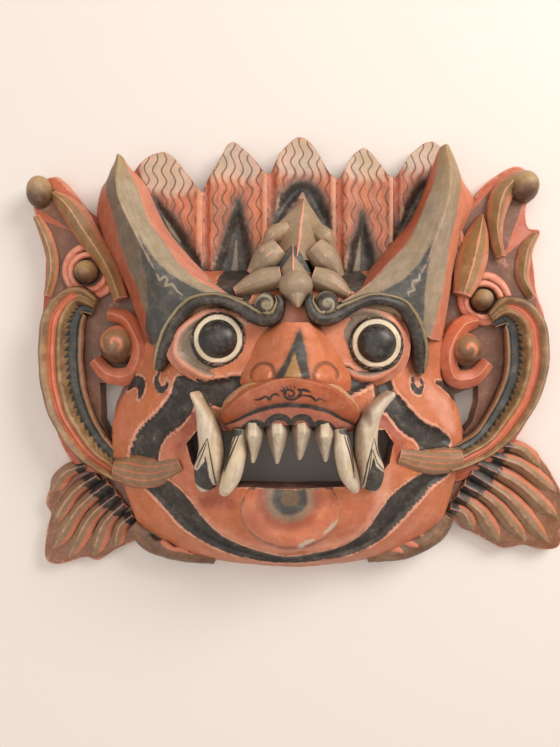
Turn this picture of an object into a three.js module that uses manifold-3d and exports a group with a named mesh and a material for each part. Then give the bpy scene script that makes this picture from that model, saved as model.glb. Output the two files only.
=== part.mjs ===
// A demon mask of the Balinese barong family, carved from one block of light wood and hollowed behind.
// It lies on its back: +Z points out of the face, +Y to the crown and +X to the viewer's right.
// Millimetres. The plan is drawn about the bridge of the nose and centred at the end.
import * as THREE from "three";
import { mergeVertices } from "three/addons/utils/BufferGeometryUtils.js";
import Module from "manifold-3d";

// ---- driving dimensions ----
const BOARD = 13; // thickness of the ears, fins and crown behind their carving
const FOOT = 2; // where carved strips start inside the boards
const HOLLOW = { x: -1, y: -26, rx: 70, ry: 62, depth: 46 };
const MOUTH = { left: -55, right: 52, floor: -57.5, roof: -29, corner: -46 };
const TOOTH_BACK = 62;
const TOOTH_FRONT = 72;
const EYE_RADIUS = 9.7;

// ---- solids ----
const wasm = await Module();
wasm.setup();

function solidOf(geometry) {
  const bare = geometry.index ? geometry.toNonIndexed() : geometry;
  bare.deleteAttribute("normal");
  bare.deleteAttribute("uv");
  const merged = mergeVertices(bare, 1e-4);
  const make = (triVerts) =>
    new wasm.Manifold(
      new wasm.Mesh({ numProp: 3, vertProperties: merged.attributes.position.array, triVerts }),
    );
  const faces = new Uint32Array(merged.index.array);
  const made = make(faces);
  return made.volume() > 0 ? made : make(faces.slice().reverse());
}

const join = (solids) => solids.reduce((all, next) => all.add(next));

// Closes the pockets that are sealed inside the wood where strips cross.
const filled = (solid) => join(solid.decompose().filter((body) => body.volume() > 0));

// Rows of points across a form, skinned lengthwise, with walls straight down (or up) to one level.
function skin(rows, level) {
  const rings = rows.map((row) => {
    const first = row[0];
    const last = row[row.length - 1];
    return [[first[0], first[1], level], ...row, [last[0], last[1], level]];
  });
  const width = rings[0].length;
  const points = rings.flat();
  const gap = (m, n) => Math.hypot(...points[m].map((value, axis) => value - points[n][axis]));
  const index = [];
  for (let i = 0; i + 1 < rings.length; i++)
    for (let j = 0; j < width; j++) {
      const a = i * width + j;
      const b = i * width + ((j + 1) % width);
      const c = b + width;
      const d = a + width;
      if (gap(a, c) <= gap(b, d)) index.push(a, b, c, a, c, d);
      else index.push(a, b, d, b, c, d);
    }
  const end = (rings.length - 1) * width;
  for (let j = 1; j + 1 < width; j++) {
    index.push(0, j + 1, j);
    index.push(end, end + j, end + j + 1);
  }
  const geometry = new THREE.BufferGeometry();
  const places = new Float32Array(points.flat());
  geometry.setAttribute("position", new THREE.BufferAttribute(places, 3));
  geometry.setIndex(index);
  return solidOf(geometry);
}

// Draws extra rows between the given ones, on smooth curves along each column.
function smoothRows(rows, perSpan) {
  const columns = rows[0].map(
    (_, j) => new THREE.CatmullRomCurve3(rows.map((row) => new THREE.Vector3(...row[j]))),
  );
  const steps = (rows.length - 1) * perSpan;
  return Array.from({ length: steps + 1 }, (_, i) =>
    columns.map((curve) => curve.getPoint(i / steps).toArray()),
  );
}

const SECTIONS = {
  ridge: [[-1, 0], [0, 1], [1, 0]],
  round: [[-1, 0], [-0.62, 0.75], [0, 1], [0.62, 0.75], [1, 0]],
  loop: [[-1, 0], [-0.72, 0.85], [-0.3, 1], [-0.06, 0.35], [0.2, 0.85], [0.45, 0.2], [1, 0.2]],
};

// A carved strip. Each key is [x, y, half width, height of its edges, crown above them].
function strip(keys, { section = "ridge", perSpan = 3, level = FOOT } = {}) {
  const line = new THREE.CatmullRomCurve3(keys.map((k) => new THREE.Vector3(k[0], k[1], k[3])));
  const size = new THREE.CatmullRomCurve3(keys.map((k) => new THREE.Vector3(k[2], k[4], 0)));
  const steps = (keys.length - 1) * perSpan;
  const rows = Array.from({ length: steps + 1 }, (_, i) => {
    const t = i / steps;
    const p = line.getPoint(t);
    const way = line.getTangent(t);
    const across = new THREE.Vector2(-way.y, way.x).normalize();
    const s = size.getPoint(t);
    const half = Math.max(s.x, 0.3);
    return SECTIONS[section].map(([u, v]) => [
      p.x + across.x * u * half,
      p.y + across.y * u * half,
      p.z + v * s.y,
    ]);
  });
  return skin(rows, level);
}

// A low dome on an upright drum: a lathe profile that starts and ends on its axis.
function dome(x, y, z, rx, ry, rise, { level = FOOT, sides = 16, rings = 4, fullness = 2 } = {}) {
  const profile = [new THREE.Vector2(0, level), new THREE.Vector2(1, level)];
  for (let i = 0; i <= rings; i++) {
    const r = Math.cos((i / rings) * (Math.PI / 2));
    const lift = (1 - r ** fullness) ** (1 / fullness);
    profile.push(new THREE.Vector2(i === rings ? 0 : r, z + rise * lift));
  }
  const geometry = new THREE.LatheGeometry(profile, sides);
  geometry.rotateX(Math.PI / 2);
  geometry.scale(rx, ry, 1);
  geometry.translate(x, y, 0);
  return solidOf(geometry);
}

function hoop(x, y, z, rx, ry, thickness, sides = 16) {
  const geometry = new THREE.TorusGeometry(1, thickness / Math.min(rx, ry), 4, sides);
  geometry.scale(rx, ry, Math.min(rx, ry));
  geometry.translate(x, y, z);
  return solidOf(geometry);
}

// A board of even thickness with its front edge eased.
function board(outline, top, ease = 1.5, from = 0) {
  const shape = new THREE.Shape(outline.map(([x, y]) => new THREE.Vector2(x, y)));
  const plain = new THREE.ExtrudeGeometry(shape, {
    depth: top - from - ease,
    bevelThickness: ease,
    bevelSize: ease,
    bevelOffset: -ease,
    bevelSegments: 1,
    curveSegments: 4,
  });
  plain.translate(0, 0, from);
  const eased = solidOf(plain);
  const straight = new THREE.ExtrudeGeometry(shape, { depth: (top - from) / 2, bevelEnabled: false });
  straight.translate(0, 0, from);
  return eased.add(solidOf(straight)).subtract(slabBelow(from));
}

function slabBelow(z) {
  const geometry = new THREE.BoxGeometry(600, 600, 50);
  geometry.translate(0, 0, z - 25);
  return solidOf(geometry);
}

function prism(outline, from, to) {
  const shape = new THREE.Shape(outline.map(([x, y]) => new THREE.Vector2(x, y)));
  const geometry = new THREE.ExtrudeGeometry(shape, { depth: to - from, bevelEnabled: false });
  geometry.translate(0, 0, from);
  return solidOf(geometry);
}

// ---- the face between the ears, from under the crown to the chin ----
// Each key is [y, left edge, right edge, height at the middle, height at the edges].
const FACE = [
  [58, -76, 74, 20, 10],
  [44, -82, 80, 52, 20],
  [20, -84, 84, 58, 24],
  [0, -88, 82, 60, 25],
  [-20, -98, 92, 62, 25],
  [-40, -100, 94, 64, 26],
  [-58, -95, 90, 62, 26],
  [-76, -90, 86, 54, 22],
  [-90, -84, 80, 44, 16],
  [-101, -68, 64, 34, 12],
  [-108, -38, 36, 20, 10],
  [-111, -10, 12, 12, 8],
];
const FACE_COLUMNS = 8;
const FACE_FULLNESS = 2.4;

const faceRise = ([, , , middle, edge], u) => edge + (middle - edge) * (1 - Math.abs(u) ** FACE_FULLNESS);

function faceHeight(x, y) {
  const below = FACE.findIndex((row) => row[0] <= y);
  const [high, low] = [FACE[below - 1], FACE[below]];
  const t = (high[0] - y) / (high[0] - low[0]);
  const row = high.map((value, i) => value + (low[i] - value) * t);
  return faceRise(row, (2 * x - row[1] - row[2]) / (row[2] - row[1]));
}

function face() {
  const rows = FACE.map((row) => {
    const [y, left, right] = row;
    return Array.from({ length: FACE_COLUMNS + 1 }, (_, j) => {
      const u = (2 * j) / FACE_COLUMNS - 1;
      return [(left + right) / 2 + ((right - left) / 2) * u, y, faceRise(row, u)];
    });
  });
  return skin(rows, 0);
}

// Shallow channels carved in the face. Each key is [x, y, half width].
const CHEEK_CHANNELS = [
  [[-36, -5, 5], [-47, -7, 8], [-57, -12, 9], [-66, -23, 8.5], [-72, -33, 8], [-76, -41, 7]],
  [[36, -5, 5], [44, -7, 8], [57, -14, 9], [67, -25, 8.5], [74, -34, 8], [79, -42, 7]],
  [[-84, -58, 5], [-74, -64, 8], [-62, -76, 9], [-50, -88, 7], [-34, -97, 4], [-10, -101, 3]],
  [[82, -56, 5], [72, -62, 8], [60, -74, 9], [48, -86, 7], [32, -95, 4], [10, -100, 3]],
];
const CHANNEL_DEPTH = 3.5;

function channel(keys) {
  const columns = keys.map(([x, y, half]) => new THREE.Vector3(x, y, half));
  const line = new THREE.CatmullRomCurve3(columns);
  const steps = keys.length - 1;
  const rows = Array.from({ length: steps + 1 }, (_, i) => {
    const p = line.getPoint(i / steps);
    const way = line.getTangent(i / steps);
    const across = new THREE.Vector2(-way.y, way.x).normalize();
    const cut = CHANNEL_DEPTH * Math.sin((Math.PI * (i + 1)) / (steps + 2));
    return [[-1, 0.4], [-0.55, -cut], [0.55, -cut], [1, 0.4]].map(([u, drop]) => {
      const x = p.x + across.x * u * p.z;
      const y = p.y + across.y * u * p.z;
      return [x, y, faceHeight(x, y) + drop];
    });
  });
  return skin(rows, 90);
}

// The jaw's hair, a raised edge on each side of the chin.
const JAW_HAIR = [
  [[-90, -86, 4, 16, 5], [-80, -94, 6, 17, 6], [-64, -100, 6, 17, 6], [-44, -105, 4, 14, 5]],
  [[87, -80, 4, 16, 5], [79, -90, 6, 17, 6], [62, -99, 6, 17, 6], [42, -104, 4, 14, 5]],
];
const jawHair = () => join(JAW_HAIR.map((keys) => strip(keys, { section: "round", perSpan: 1 })));

// ---- crown of five pointed leaves ----
// Each leaf gives its left edge, middle and right edge at the foot, valley and shoulder, and its tip.
const LEAVES = [
  {
    foot: [[-96, 64], [-74, 62], [-50, 60]],
    valley: [[-94, 106], [-73, 112], [-51, 105]],
    shoulder: [[-82, 121], [-73, 124], [-62, 117]],
    tip: [-73, 127],
    raised: 0,
  },
  {
    foot: [[-52, 56], [-34, 56], [-13, 56]],
    valley: [[-51, 105], [-34, 114], [-13.5, 114]],
    shoulder: [[-43, 119], [-34, 124], [-23, 123]],
    tip: [-34.5, 133],
    raised: 1,
  },
  {
    foot: [[-14, 56], [5, 56], [25, 56]],
    valley: [[-13.5, 114], [5, 118], [24, 111]],
    shoulder: [[-5, 125], [5, 128], [14, 122]],
    tip: [4.5, 134.5],
    raised: 2,
  },
  {
    foot: [[24, 56], [41, 56], [58, 56]],
    valley: [[24, 111], [40.5, 114], [57, 114]],
    shoulder: [[32, 120], [40.5, 122], [50, 119]],
    tip: [41, 128],
    raised: 1,
  },
  {
    foot: [[56, 60], [74, 62], [92, 62]],
    valley: [[57, 114], [74, 116], [92, 118]],
    shoulder: [[66, 123], [75, 126], [86, 126]],
    tip: [76.5, 133],
    raised: 0,
  },
];
const LEAF_EDGE = 19; // height of a leaf's edges
const LEAF_MIDDLE = 15; // height along its middle
const LEAF_TIP = 12;
const LEAF_FALL = 1.5; // how much lower each row is towards the tip

function crownLeaf({ foot, valley, shoulder, tip, raised }) {
  const rows = [foot, valley, shoulder].map((places, i) =>
    places.map(([x, y], j) => [x, y, (j === 1 ? LEAF_MIDDLE : LEAF_EDGE) + raised - LEAF_FALL * i]),
  );
  const point = [-0.6, 0, 0.6].map((dx) => [tip[0] + dx, tip[1], LEAF_TIP + raised]);
  return skin([...rows, point], 0);
}

// Flame-shaped hollows with a V bottom. Each key is [x, y, half width].
const FLAMES = [
  [[-79, 99, 0.5], [-70, 86, 4.5], [-60, 70, 5], [-50, 57, 2]],
  [[-32, 98, 0.5], [-32, 84, 4.5], [-32, 66, 9], [-31, 50, 6]],
  [[40, 90, 0.5], [40, 78, 4.5], [40, 64, 8], [38, 50, 6]],
  [[78, 111, 0.5], [72, 98, 3.5], [64, 85, 3.5], [57, 74, 1]],
];
const FLAME_DEPTH = 6;

function flame(keys) {
  const above = LEAF_EDGE + 8;
  const rows = keys.map(([x, y, half]) => [
    [x - half, y, LEAF_MIDDLE + 3],
    [x, y, LEAF_MIDDLE + 1 - FLAME_DEPTH * Math.min(1, half / 4)],
    [x + half, y, LEAF_MIDDLE + 3],
  ]);
  return skin(rows, above);
}

function crown() {
  return join(LEAVES.map(crownLeaf)).subtract(join(FLAMES.map(flame)));
}

// ---- horned brow wings ----
// Rows from the tip to the brow: outer foot, outer edge, crease, inner edge, inner foot.
const LEFT_HORN = [
  [[-98, 116, 20], [-97, 118, 31], [-95, 119.5, 34], [-93, 118, 31], [-91, 116, 18]],
  [[-109, 106, 14], [-102.5, 102, 31], [-94.5, 101, 40], [-85.5, 103, 34], [-81, 106, 15]],
  [[-112, 89, 14], [-97.5, 85.5, 35], [-88.5, 84.5, 46], [-77.5, 83.5, 38], [-71.5, 86, 16]],
  [[-106, 72, 16], [-91.5, 65.5, 39], [-80, 69, 51], [-66.5, 67, 43], [-60, 72, 18]],
  [[-95.5, 53, 20], [-84.5, 49, 42], [-71.5, 53.5, 55], [-53.5, 51.5, 49], [-47, 58, 22]],
  [[-88, 34, 24], [-77, 30, 45], [-62, 40, 57], [-36.5, 42, 55], [-31, 48, 26]],
  [[-82, 18, 26], [-73, 14, 44], [-50, 36, 58], [-25.5, 37.5, 60], [-22, 42, 30]],
];
const RIGHT_HORN = [
  [[89, 118, 20], [86, 123, 31], [83.5, 125, 34], [80.5, 123.5, 31], [78, 118, 18]],
  [[98, 108, 14], [91.5, 107.5, 32], [84, 107, 40], [77.5, 108, 34], [76.5, 110, 15]],
  [[103, 97, 14], [89, 88.5, 36], [81, 88.5, 46], [69.5, 87, 38], [67, 90, 16]],
  [[96, 80, 16], [84, 70, 40], [74, 69.5, 51], [62, 72, 43], [55.5, 76, 18]],
  [[90, 57, 20], [81, 53.5, 43], [66.5, 52.5, 55], [49, 56.5, 49], [43, 61, 22]],
  [[86, 36, 24], [77, 35, 46], [57.5, 39.5, 57], [35.5, 43.5, 55], [33, 48, 26]],
  [[82, 18, 26], [72.5, 18, 45], [46.5, 35.5, 58], [24, 36, 60], [23, 41, 30]],
];
const horn = (rows) => skin(smoothRows(rows, 2), FOOT);

// ---- brow bands that curl in over the nose ----
const LEFT_BROW = [
  [-73, 2, 4, 42, 3], [-68, 12, 4.5, 48, 3], [-62.5, 23.5, 4.5, 53, 3], [-52, 34.5, 4.5, 57, 3],
  [-38, 37.5, 4, 60, 3], [-22, 31, 3.5, 63, 3], [-13, 27.5, 3.5, 65, 3], [-6.5, 33, 3, 66, 3],
  [-9.5, 40.5, 2, 66, 3],
];
const RIGHT_BROW = [
  [69, 0, 4, 42, 3], [66.5, 10, 4.5, 48, 3], [63, 24, 4.5, 53, 3], [55.5, 33.5, 4.5, 57, 3],
  [42, 37, 4, 60, 3], [26, 31.5, 3.5, 63, 3], [16.5, 27.5, 3.5, 65, 3], [9.5, 33, 3, 66, 3],
  [13, 41, 2, 66, 3],
];

function brows() {
  const level = 30;
  return join([
    strip(LEFT_BROW, { perSpan: 2, level }),
    strip(RIGHT_BROW, { perSpan: 2, level }),
    dome(-13.5, 35, 64, 5, 5, 5, { level, sides: 10, rings: 2 }),
    dome(16.5, 35.5, 64, 5, 5, 5, { level, sides: 10, rings: 2 }),
  ]);
}

// ---- eyes ----
const EYES = [
  { x: -39, y: 18, lidX: -40.5, lidY: 16.5, rx: 22, ry: 18.5 },
  { x: 43, y: 15.5, lidX: 42, lidY: 15, rx: 21.5, ry: 18.5 },
];

function eye({ x, y, lidX, lidY, rx, ry }) {
  const level = 30;
  return join([
    dome(lidX, lidY, 45, rx + 3, ry + 3, 8, { level, sides: 16, rings: 2, fullness: 3 }),
    hoop(lidX, lidY, 53, rx, ry, 3),
    dome(x, y, 50, EYE_RADIUS + 8, EYE_RADIUS + 6, 9, { level, sides: 14, rings: 2 }),
    dome(x, y, 56, EYE_RADIUS, EYE_RADIUS, 9, { level, sides: 12, rings: 2 }),
  ]);
}

// ---- nose ----
const NOSE = [
  [[-9, 26, 58], [-5, 25.5, 66], [1.5, 25, 69], [8, 25.5, 66], [12, 26, 58]],
  [[-17.5, 18, 58], [-9, 17.5, 69], [1.5, 17, 75], [12, 17.5, 69], [18, 18, 58]],
  [[-22.5, 7, 58], [-12, 6.5, 73], [1, 6.5, 82], [14, 6.5, 73], [24.5, 7, 58]],
  [[-27, -2, 58], [-17, -1, 75], [0, -1, 88], [18, -1, 75], [29.5, -2, 58]],
  [[-27, -9, 56], [-17, -8, 72], [0, -7, 84], [18, -8, 72], [29.5, -9, 56]],
];

function nose() {
  const level = 35;
  const nostril = (x, y) => dome(x, y, 72, 5.2, 5, 9, { level, sides: 12, rings: 3 });
  return join([skin(NOSE, level), nostril(-15.5, -0.5), nostril(16.5, -0.5)]);
}

// ---- upper lip and gum ----
// Rows from the left corner to the right: behind the rim, rim, foot of the lip, foot of the gum.
const LIP = [
  [[-41, -17, 56], [-38, -19, 71], [-34, -25.5, 67], [-33, -31, 62]],
  [[-35, -10, 62], [-32.5, -14, 79], [-27, -22, 75], [-26, -29, 70]],
  [[-21, -3, 68], [-20, -6.5, 86], [-17, -18, 81], [-17, -26.5, 75]],
  [[-1.5, 1, 72], [-1.5, -2, 90], [-1.5, -15, 85], [-1.5, -25, 77]],
  [[18, -3, 68], [17.5, -6, 86], [14.5, -17.5, 81], [14.5, -26.5, 75]],
  [[30.5, -10, 62], [28.5, -13, 79], [24, -21.5, 75], [23, -29, 70]],
  [[37.5, -17, 56], [34.5, -19.5, 71], [30.5, -25.5, 67], [29.5, -31, 62]],
];
const lip = () => skin(smoothRows(LIP, 2), 36);

// ---- teeth, canines and the tusks at the corners of the mouth ----
// Each front tooth is [left, right, top, tip x, tip y].
const FRONT_TEETH = [
  [-24.5, -14, -24, -20, -44.5],
  [-13.8, -1, -22, -8, -45],
  [-0.8, 9.8, -22, 3, -43],
  [10, 20.5, -24.5, 16.3, -44],
];

function tooth([left, right, top, tipX, tipY]) {
  const wide = right - left;
  const belly = top + (tipY - top) * 0.28;
  const crest = [left + wide * 0.3, left + wide * 0.62];
  const face = (y, inset, lift) => [
    [left + inset, y, TOOTH_FRONT - 1],
    [crest[0], y, TOOTH_FRONT + lift],
    [crest[1], y, TOOTH_FRONT + lift + 0.5],
    [right - inset, y, TOOTH_FRONT - 1],
  ];
  const tip = [-0.9, -0.3, 0.3, 0.9].map((dx) => [tipX + dx, tipY, 69 - Math.abs(dx)]);
  return skin([face(top + 2, 1, 2), face(belly, 0, 7.5), tip], TOOTH_BACK);
}

const LEFT_CANINE = [
  [-26, -27, 3.5, 70, 4], [-27.5, -40, 4.5, 71, 5], [-30.5, -51, 4.8, 71, 5], [-34.5, -59, 2.4, 70, 3],
];
const RIGHT_CANINE = [
  [23, -27, 3.5, 70, 4], [25, -40, 4.5, 71, 5], [27.5, -50, 4.5, 71, 5], [30.5, -57.5, 2.2, 70, 3],
];
const LEFT_TUSK = [
  [-49, -10.5, 1.2, 75, 2], [-45.5, -17, 2.2, 75, 3], [-42, -26, 4.6, 73, 4], [-40.5, -38, 6.2, 70, 5],
  [-42, -48, 7.6, 66, 5], [-43, -57, 6, 60, 4],
];
const RIGHT_TUSK = [
  [47.5, -11.5, 1.8, 75, 2], [41.5, -17.5, 3, 75, 3], [37, -26, 5, 73, 4], [36, -38, 6, 70, 5],
  [38, -48, 7.2, 66, 5], [39, -57, 6, 60, 4],
];

function teeth() {
  return join([
    ...FRONT_TEETH.map(tooth),
    strip(LEFT_CANINE, { perSpan: 2, level: 48 }),
    strip(RIGHT_CANINE, { perSpan: 2, level: 48 }),
    strip(LEFT_TUSK, { section: "round", perSpan: 2, level: 38 }),
    strip(RIGHT_TUSK, { section: "round", perSpan: 2, level: 38 }),
  ]);
}

// ---- chin ----
function chin() {
  return dome(-1.5, -62, 48, 28, 30, 19, { level: 20, sides: 18, rings: 4 });
}

// ---- ears: boards with a pierced loop, scrolls, leaves and a knob ----
const LEFT_EAR = [
  [-136, 113], [-129, 107], [-121, 97], [-113, 90], [-92, 70], [-84, 30], [-84, -10], [-90, -60],
  [-112, -58], [-126, -52], [-134, -38], [-141, -17], [-144.5, 2], [-145, 22], [-143, 46],
  [-142, 66], [-143, 76], [-146, 86], [-149, 96], [-148, 108],
];
const RIGHT_EAR = [
  [103, 100], [117, 114], [130, 119], [138, 110], [134, 96], [135, 84], [142, 82], [138, 72],
  [138, 61], [140.5, 45], [144.5, 33], [146, 16], [144, -5], [138, -20], [127, -39], [112, -52],
  [90, -60], [84, -10], [84, 30], [88, 70],
];
const LEFT_EAR_HOLE = [[-110.5, -5], [-97, -7], [-101, -16], [-104.5, -36], [-109.5, -27]];
const RIGHT_EAR_HOLE = [[92, -12], [106, -7], [106, -16], [103, -27], [98, -33.5], [95, -24]];
const LEFT_LOOP = [
  [-112, 38, 5, 17, 5], [-121, 41, 9, 18, 7], [-129, 31, 12, 18, 8], [-131, 14, 12.5, 18, 8],
  [-130, -4, 12.5, 18, 8], [-125, -22, 12, 19, 8], [-114, -39, 10, 21, 8], [-100, -50, 8, 25, 8],
  [-88, -54, 7, 30, 8],
];
const RIGHT_LOOP = [
  [112, 30, 5, 17, 5], [121, 35, 9, 18, 7], [130, 27, 12, 18, 8], [132, 10, 12.5, 18, 8],
  [129.5, -6, 12, 18, 8], [122, -21, 11, 19, 8], [110, -36, 9, 21, 8], [96, -44, 7.5, 26, 8],
  [84, -47, 7, 32, 8],
];
const LEFT_TIE = [
  [-98, -52, 5, 29, 6], [-88, -53, 8.5, 34, 6], [-74, -52.5, 8, 42, 5], [-58, -47, 4, 52, 4],
];
const RIGHT_TIE = [
  [92, -46, 5, 30, 6], [82, -47, 7, 36, 6], [69, -46.5, 6.5, 44, 5], [55, -43, 4, 52, 4],
];
// A low wall that curls round each spiral boss.
const LEFT_SCROLL_WALL = [
  [-104, 34, 4, 16, 6], [-92, 29, 5, 22, 6], [-85, 14, 5, 26, 4],
  [-90, 0, 5, 22, 4], [-103, -1, 5, 18, 4], [-112, 8, 4, 18, 4],
];
const RIGHT_SCROLL_WALL = [
  [104, 30, 4, 16, 6], [94, 26, 5, 22, 6], [86, 12, 5, 26, 4],
  [90, -2, 5, 22, 4], [102, -2, 5, 18, 4], [110, 6, 4, 18, 4],
];
// Leaves and edge rolls that lie on the ear boards.
const EAR_LEAVES = [
  [
    [-137, 103, 2, 14, 2], [-126, 93, 6.5, 16, 5], [-115, 77, 6.5, 17, 6],
    [-103, 58, 5, 18, 5], [-97, 42, 4, 20, 4],
  ],
  [[107, 90, 1, 17, 3], [104, 77, 7, 18, 6], [100, 60, 8.5, 19, 6], [95, 44, 5, 21, 4]],
  [[129, 113, 3, 15, 4], [119, 102, 6, 16, 5], [115, 84, 4.5, 16, 5], [118, 66, 2.5, 16, 4]],
  [[-147, 90, 2, 13, 3], [-140, 76, 3.5, 14, 4], [-137, 60, 3.5, 14, 4], [-140, 44, 2.5, 14, 4]],
  [[139, 80, 2, 13, 3], [133, 70, 4, 14, 4], [131, 56, 4, 14, 4], [136, 44, 2.5, 14, 4]],
];

function scroll(x, y, ball, turn) {
  return join([
    dome(x, y, 16, ball, ball, 10, { sides: 10, rings: 2 }),
    hoop(x + 1, y, 16, ball + 3.4, ball + 3.4, 2, 10),
    hoop(x + 2, y + 1, 14.5, turn, turn, 2.6, 12),
  ]);
}

function ears() {
  const holes = join([LEFT_EAR_HOLE, RIGHT_EAR_HOLE].map((hole) => prism(hole, -1, 60)));
  return join([
    board(LEFT_EAR, BOARD),
    board(RIGHT_EAR, BOARD),
    strip(LEFT_LOOP, { section: "loop", perSpan: 2 }),
    strip(RIGHT_LOOP.toReversed(), { section: "loop", perSpan: 2 }),
    strip(LEFT_SCROLL_WALL, { perSpan: 1 }),
    strip(RIGHT_SCROLL_WALL, { perSpan: 1 }),
    ...EAR_LEAVES.map((keys) => strip(keys, { perSpan: 1 })),
    scroll(-117, 57.5, 6.6, 14),
    scroll(107, 41.5, 6.4, 13),
    dome(-98, 16.5, 18, 11, 11, 16, { sides: 12, rings: 3 }),
    dome(96, 13.5, 18, 9.8, 9.8, 16, { sides: 12, rings: 3 }),
    dome(-145, 103.5, 14, 7.4, 9.4, 9, { level: 1, sides: 10, rings: 2 }),
    dome(131.5, 106.5, 14, 8.8, 9.6, 10, { level: 1, sides: 10, rings: 2 }),
  ]).subtract(holes);
}

const ties = () =>
  join([LEFT_TIE, RIGHT_TIE].map((keys) => strip(keys, { section: "round", perSpan: 1 })));

// ---- fluted fins below the ears ----
const LEFT_FIN = [
  [-122, -50], [-132, -56], [-139, -63], [-143, -75], [-140, -81], [-142.5, -92], [-143, -107],
  [-135, -110], [-120, -106], [-113, -108], [-103, -102], [-88, -94], [-84, -80], [-100, -55],
];
const RIGHT_FIN = [
  [92, -50], [118, -42], [127, -38], [136, -43], [144, -50], [150, -59], [156, -70], [158, -78], [156, -90],
  [153, -100.5], [142, -101.5], [133, -99], [122, -101], [113, -97], [100, -90], [90, -83], [80, -84],
];
// Each flute runs from its root to its tip: [root x, root y, tip x, tip y, half width].
const LEFT_FLUTES = [
  [-120, -54, -139, -68, 4.5], [-114, -61, -138, -86, 4.5], [-108, -66, -138, -101, 5],
  [-103, -72, -129, -106, 5], [-98, -77, -115, -105, 5], [-92, -83, -102, -100, 4.5],
];
const RIGHT_FLUTES = [
  [120, -42, 143, -54, 4.5], [115, -48, 152, -68, 4.5], [110, -54, 153, -84, 5], [106, -60, 147, -97, 5],
  [101, -66, 134, -96, 5], [96, -72, 119, -97, 5], [91, -78, 104, -90, 4.5],
];
const FIN_BOW = 3.5; // how far a flute bows out of its straight line

function flute([rx, ry, tx, ty, half]) {
  const at = (t, bow) => {
    const length = Math.hypot(tx - rx, ty - ry);
    return [
      rx + (tx - rx) * t + ((ry - ty) / length) * bow,
      ry + (ty - ry) * t + ((tx - rx) / length) * bow,
    ];
  };
  const side = tx < 0 ? -1 : 1;
  return strip(
    [
      [...at(-0.1, 0), half * 0.7, 11, 4],
      [...at(0.35, side * FIN_BOW), half * 1.05, 9, 6],
      [...at(0.75, side * FIN_BOW * 0.4), half * 1.25, 8, 5],
      [...at(1, 0), half * 0.6, 7, 3],
    ],
    { perSpan: 1 },
  );
}

const fins = () =>
  join([
    board(LEFT_FIN, 9.5, 1),
    board(RIGHT_FIN, 9.5, 1),
    ...LEFT_FLUTES.map(flute),
    ...RIGHT_FLUTES.map(flute),
  ]);

// ---- the tiered leaf crest between the horns ----
const CREST_TOP = [
  [[4.5, 94, 32], [6, 95.5, 34], [7.5, 94, 32]],
  [[-9.5, 79.5, 35], [4.5, 81, 45], [16.5, 79.5, 35]],
  [[-8, 72, 38], [3.5, 70, 51], [15, 72, 38]],
  [[-9, 60, 44], [1.5, 58, 56], [13, 60, 44]],
];
const CREST_MIDDLE = [
  [[-2, 66, 50], [0, 67, 53], [2, 66, 50]],
  [[-9, 52, 52], [0, 54, 61], [9.5, 52, 52]],
  [[-8, 44, 56], [1, 44, 66], [10, 44, 56]],
];
// Tongues of leaf that point down and outwards, in pairs.
const CREST_TONGUES = [
  [[-2, 78, 4, 38, 4], [-10, 74, 5.5, 38, 6], [-15, 67, 2, 36, 5]],
  [[10, 78, 4, 38, 4], [17, 73, 5.5, 38, 6], [21, 66, 2, 36, 5]],
  [[-7, 66, 6, 48, 5], [-14, 60, 7.5, 46, 8], [-22.5, 52.5, 3, 42, 6]],
  [[11, 66, 6, 48, 5], [18, 59.5, 7.5, 46, 8], [25, 50.5, 3, 42, 6]],
  [[-6, 50, 5.5, 54, 5], [-17, 47.5, 6.5, 51, 8], [-30, 42.5, 3, 50, 6]],
  [[10, 50, 5.5, 54, 5], [20, 46.5, 6.5, 51, 8], [29, 40.5, 3, 50, 6]],
];
const CREST_TIP = [[1.5, 44, 6.5, 62, 7], [2, 38.5, 5, 64, 6], [2.5, 33, 1, 66, 3]];

const crest = () =>
  join([
    skin(CREST_TOP, FOOT),
    skin(CREST_MIDDLE, 20),
    ...CREST_TONGUES.map((keys) => strip(keys, { section: "round", perSpan: 1, level: 8 })),
    dome(1.5, 44, 62, 8.5, 8, 9, { level: 30, sides: 12, rings: 2 }),
    strip(CREST_TIP, { section: "round", perSpan: 1, level: 40 }),
  ]);

// ---- openings ----
const MOUTH_OUTLINE = [
  [MOUTH.left + 3, MOUTH.corner], [MOUTH.left + 10, MOUTH.floor + 3], [-30, MOUTH.floor],
  [28, MOUTH.floor], [MOUTH.right - 10, MOUTH.floor + 3], [MOUTH.right - 2, MOUTH.corner],
  [MOUTH.right, -36], [MOUTH.right - 5, MOUTH.roof], [MOUTH.left + 6, MOUTH.roof], [MOUTH.left, -36],
];

function hollow() {
  const { x, y, rx, ry, depth } = HOLLOW;
  return dome(x, y, 0, rx, ry, depth, { level: -5, sides: 20, rings: 4, fullness: 2.4 });
}

// ---- the whole mask, centred over its plan ----
function mask() {
  const jaw = face().subtract(join(CHEEK_CHANNELS.map(channel)));
  const head = join([jaw, jawHair(), ties(), ...EYES.map(eye), nose(), lip(), chin()]);
  const opened = head.subtract(prism(MOUTH_OUTLINE, -1, 100)).subtract(hollow());
  const wings = join([horn(LEFT_HORN), horn(RIGHT_HORN)]);
  const carved = join([opened, crown(), wings, brows(), crest(), ears(), fins()]);
  return filled(carved.subtract(hollow()).add(teeth()));
}

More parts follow.
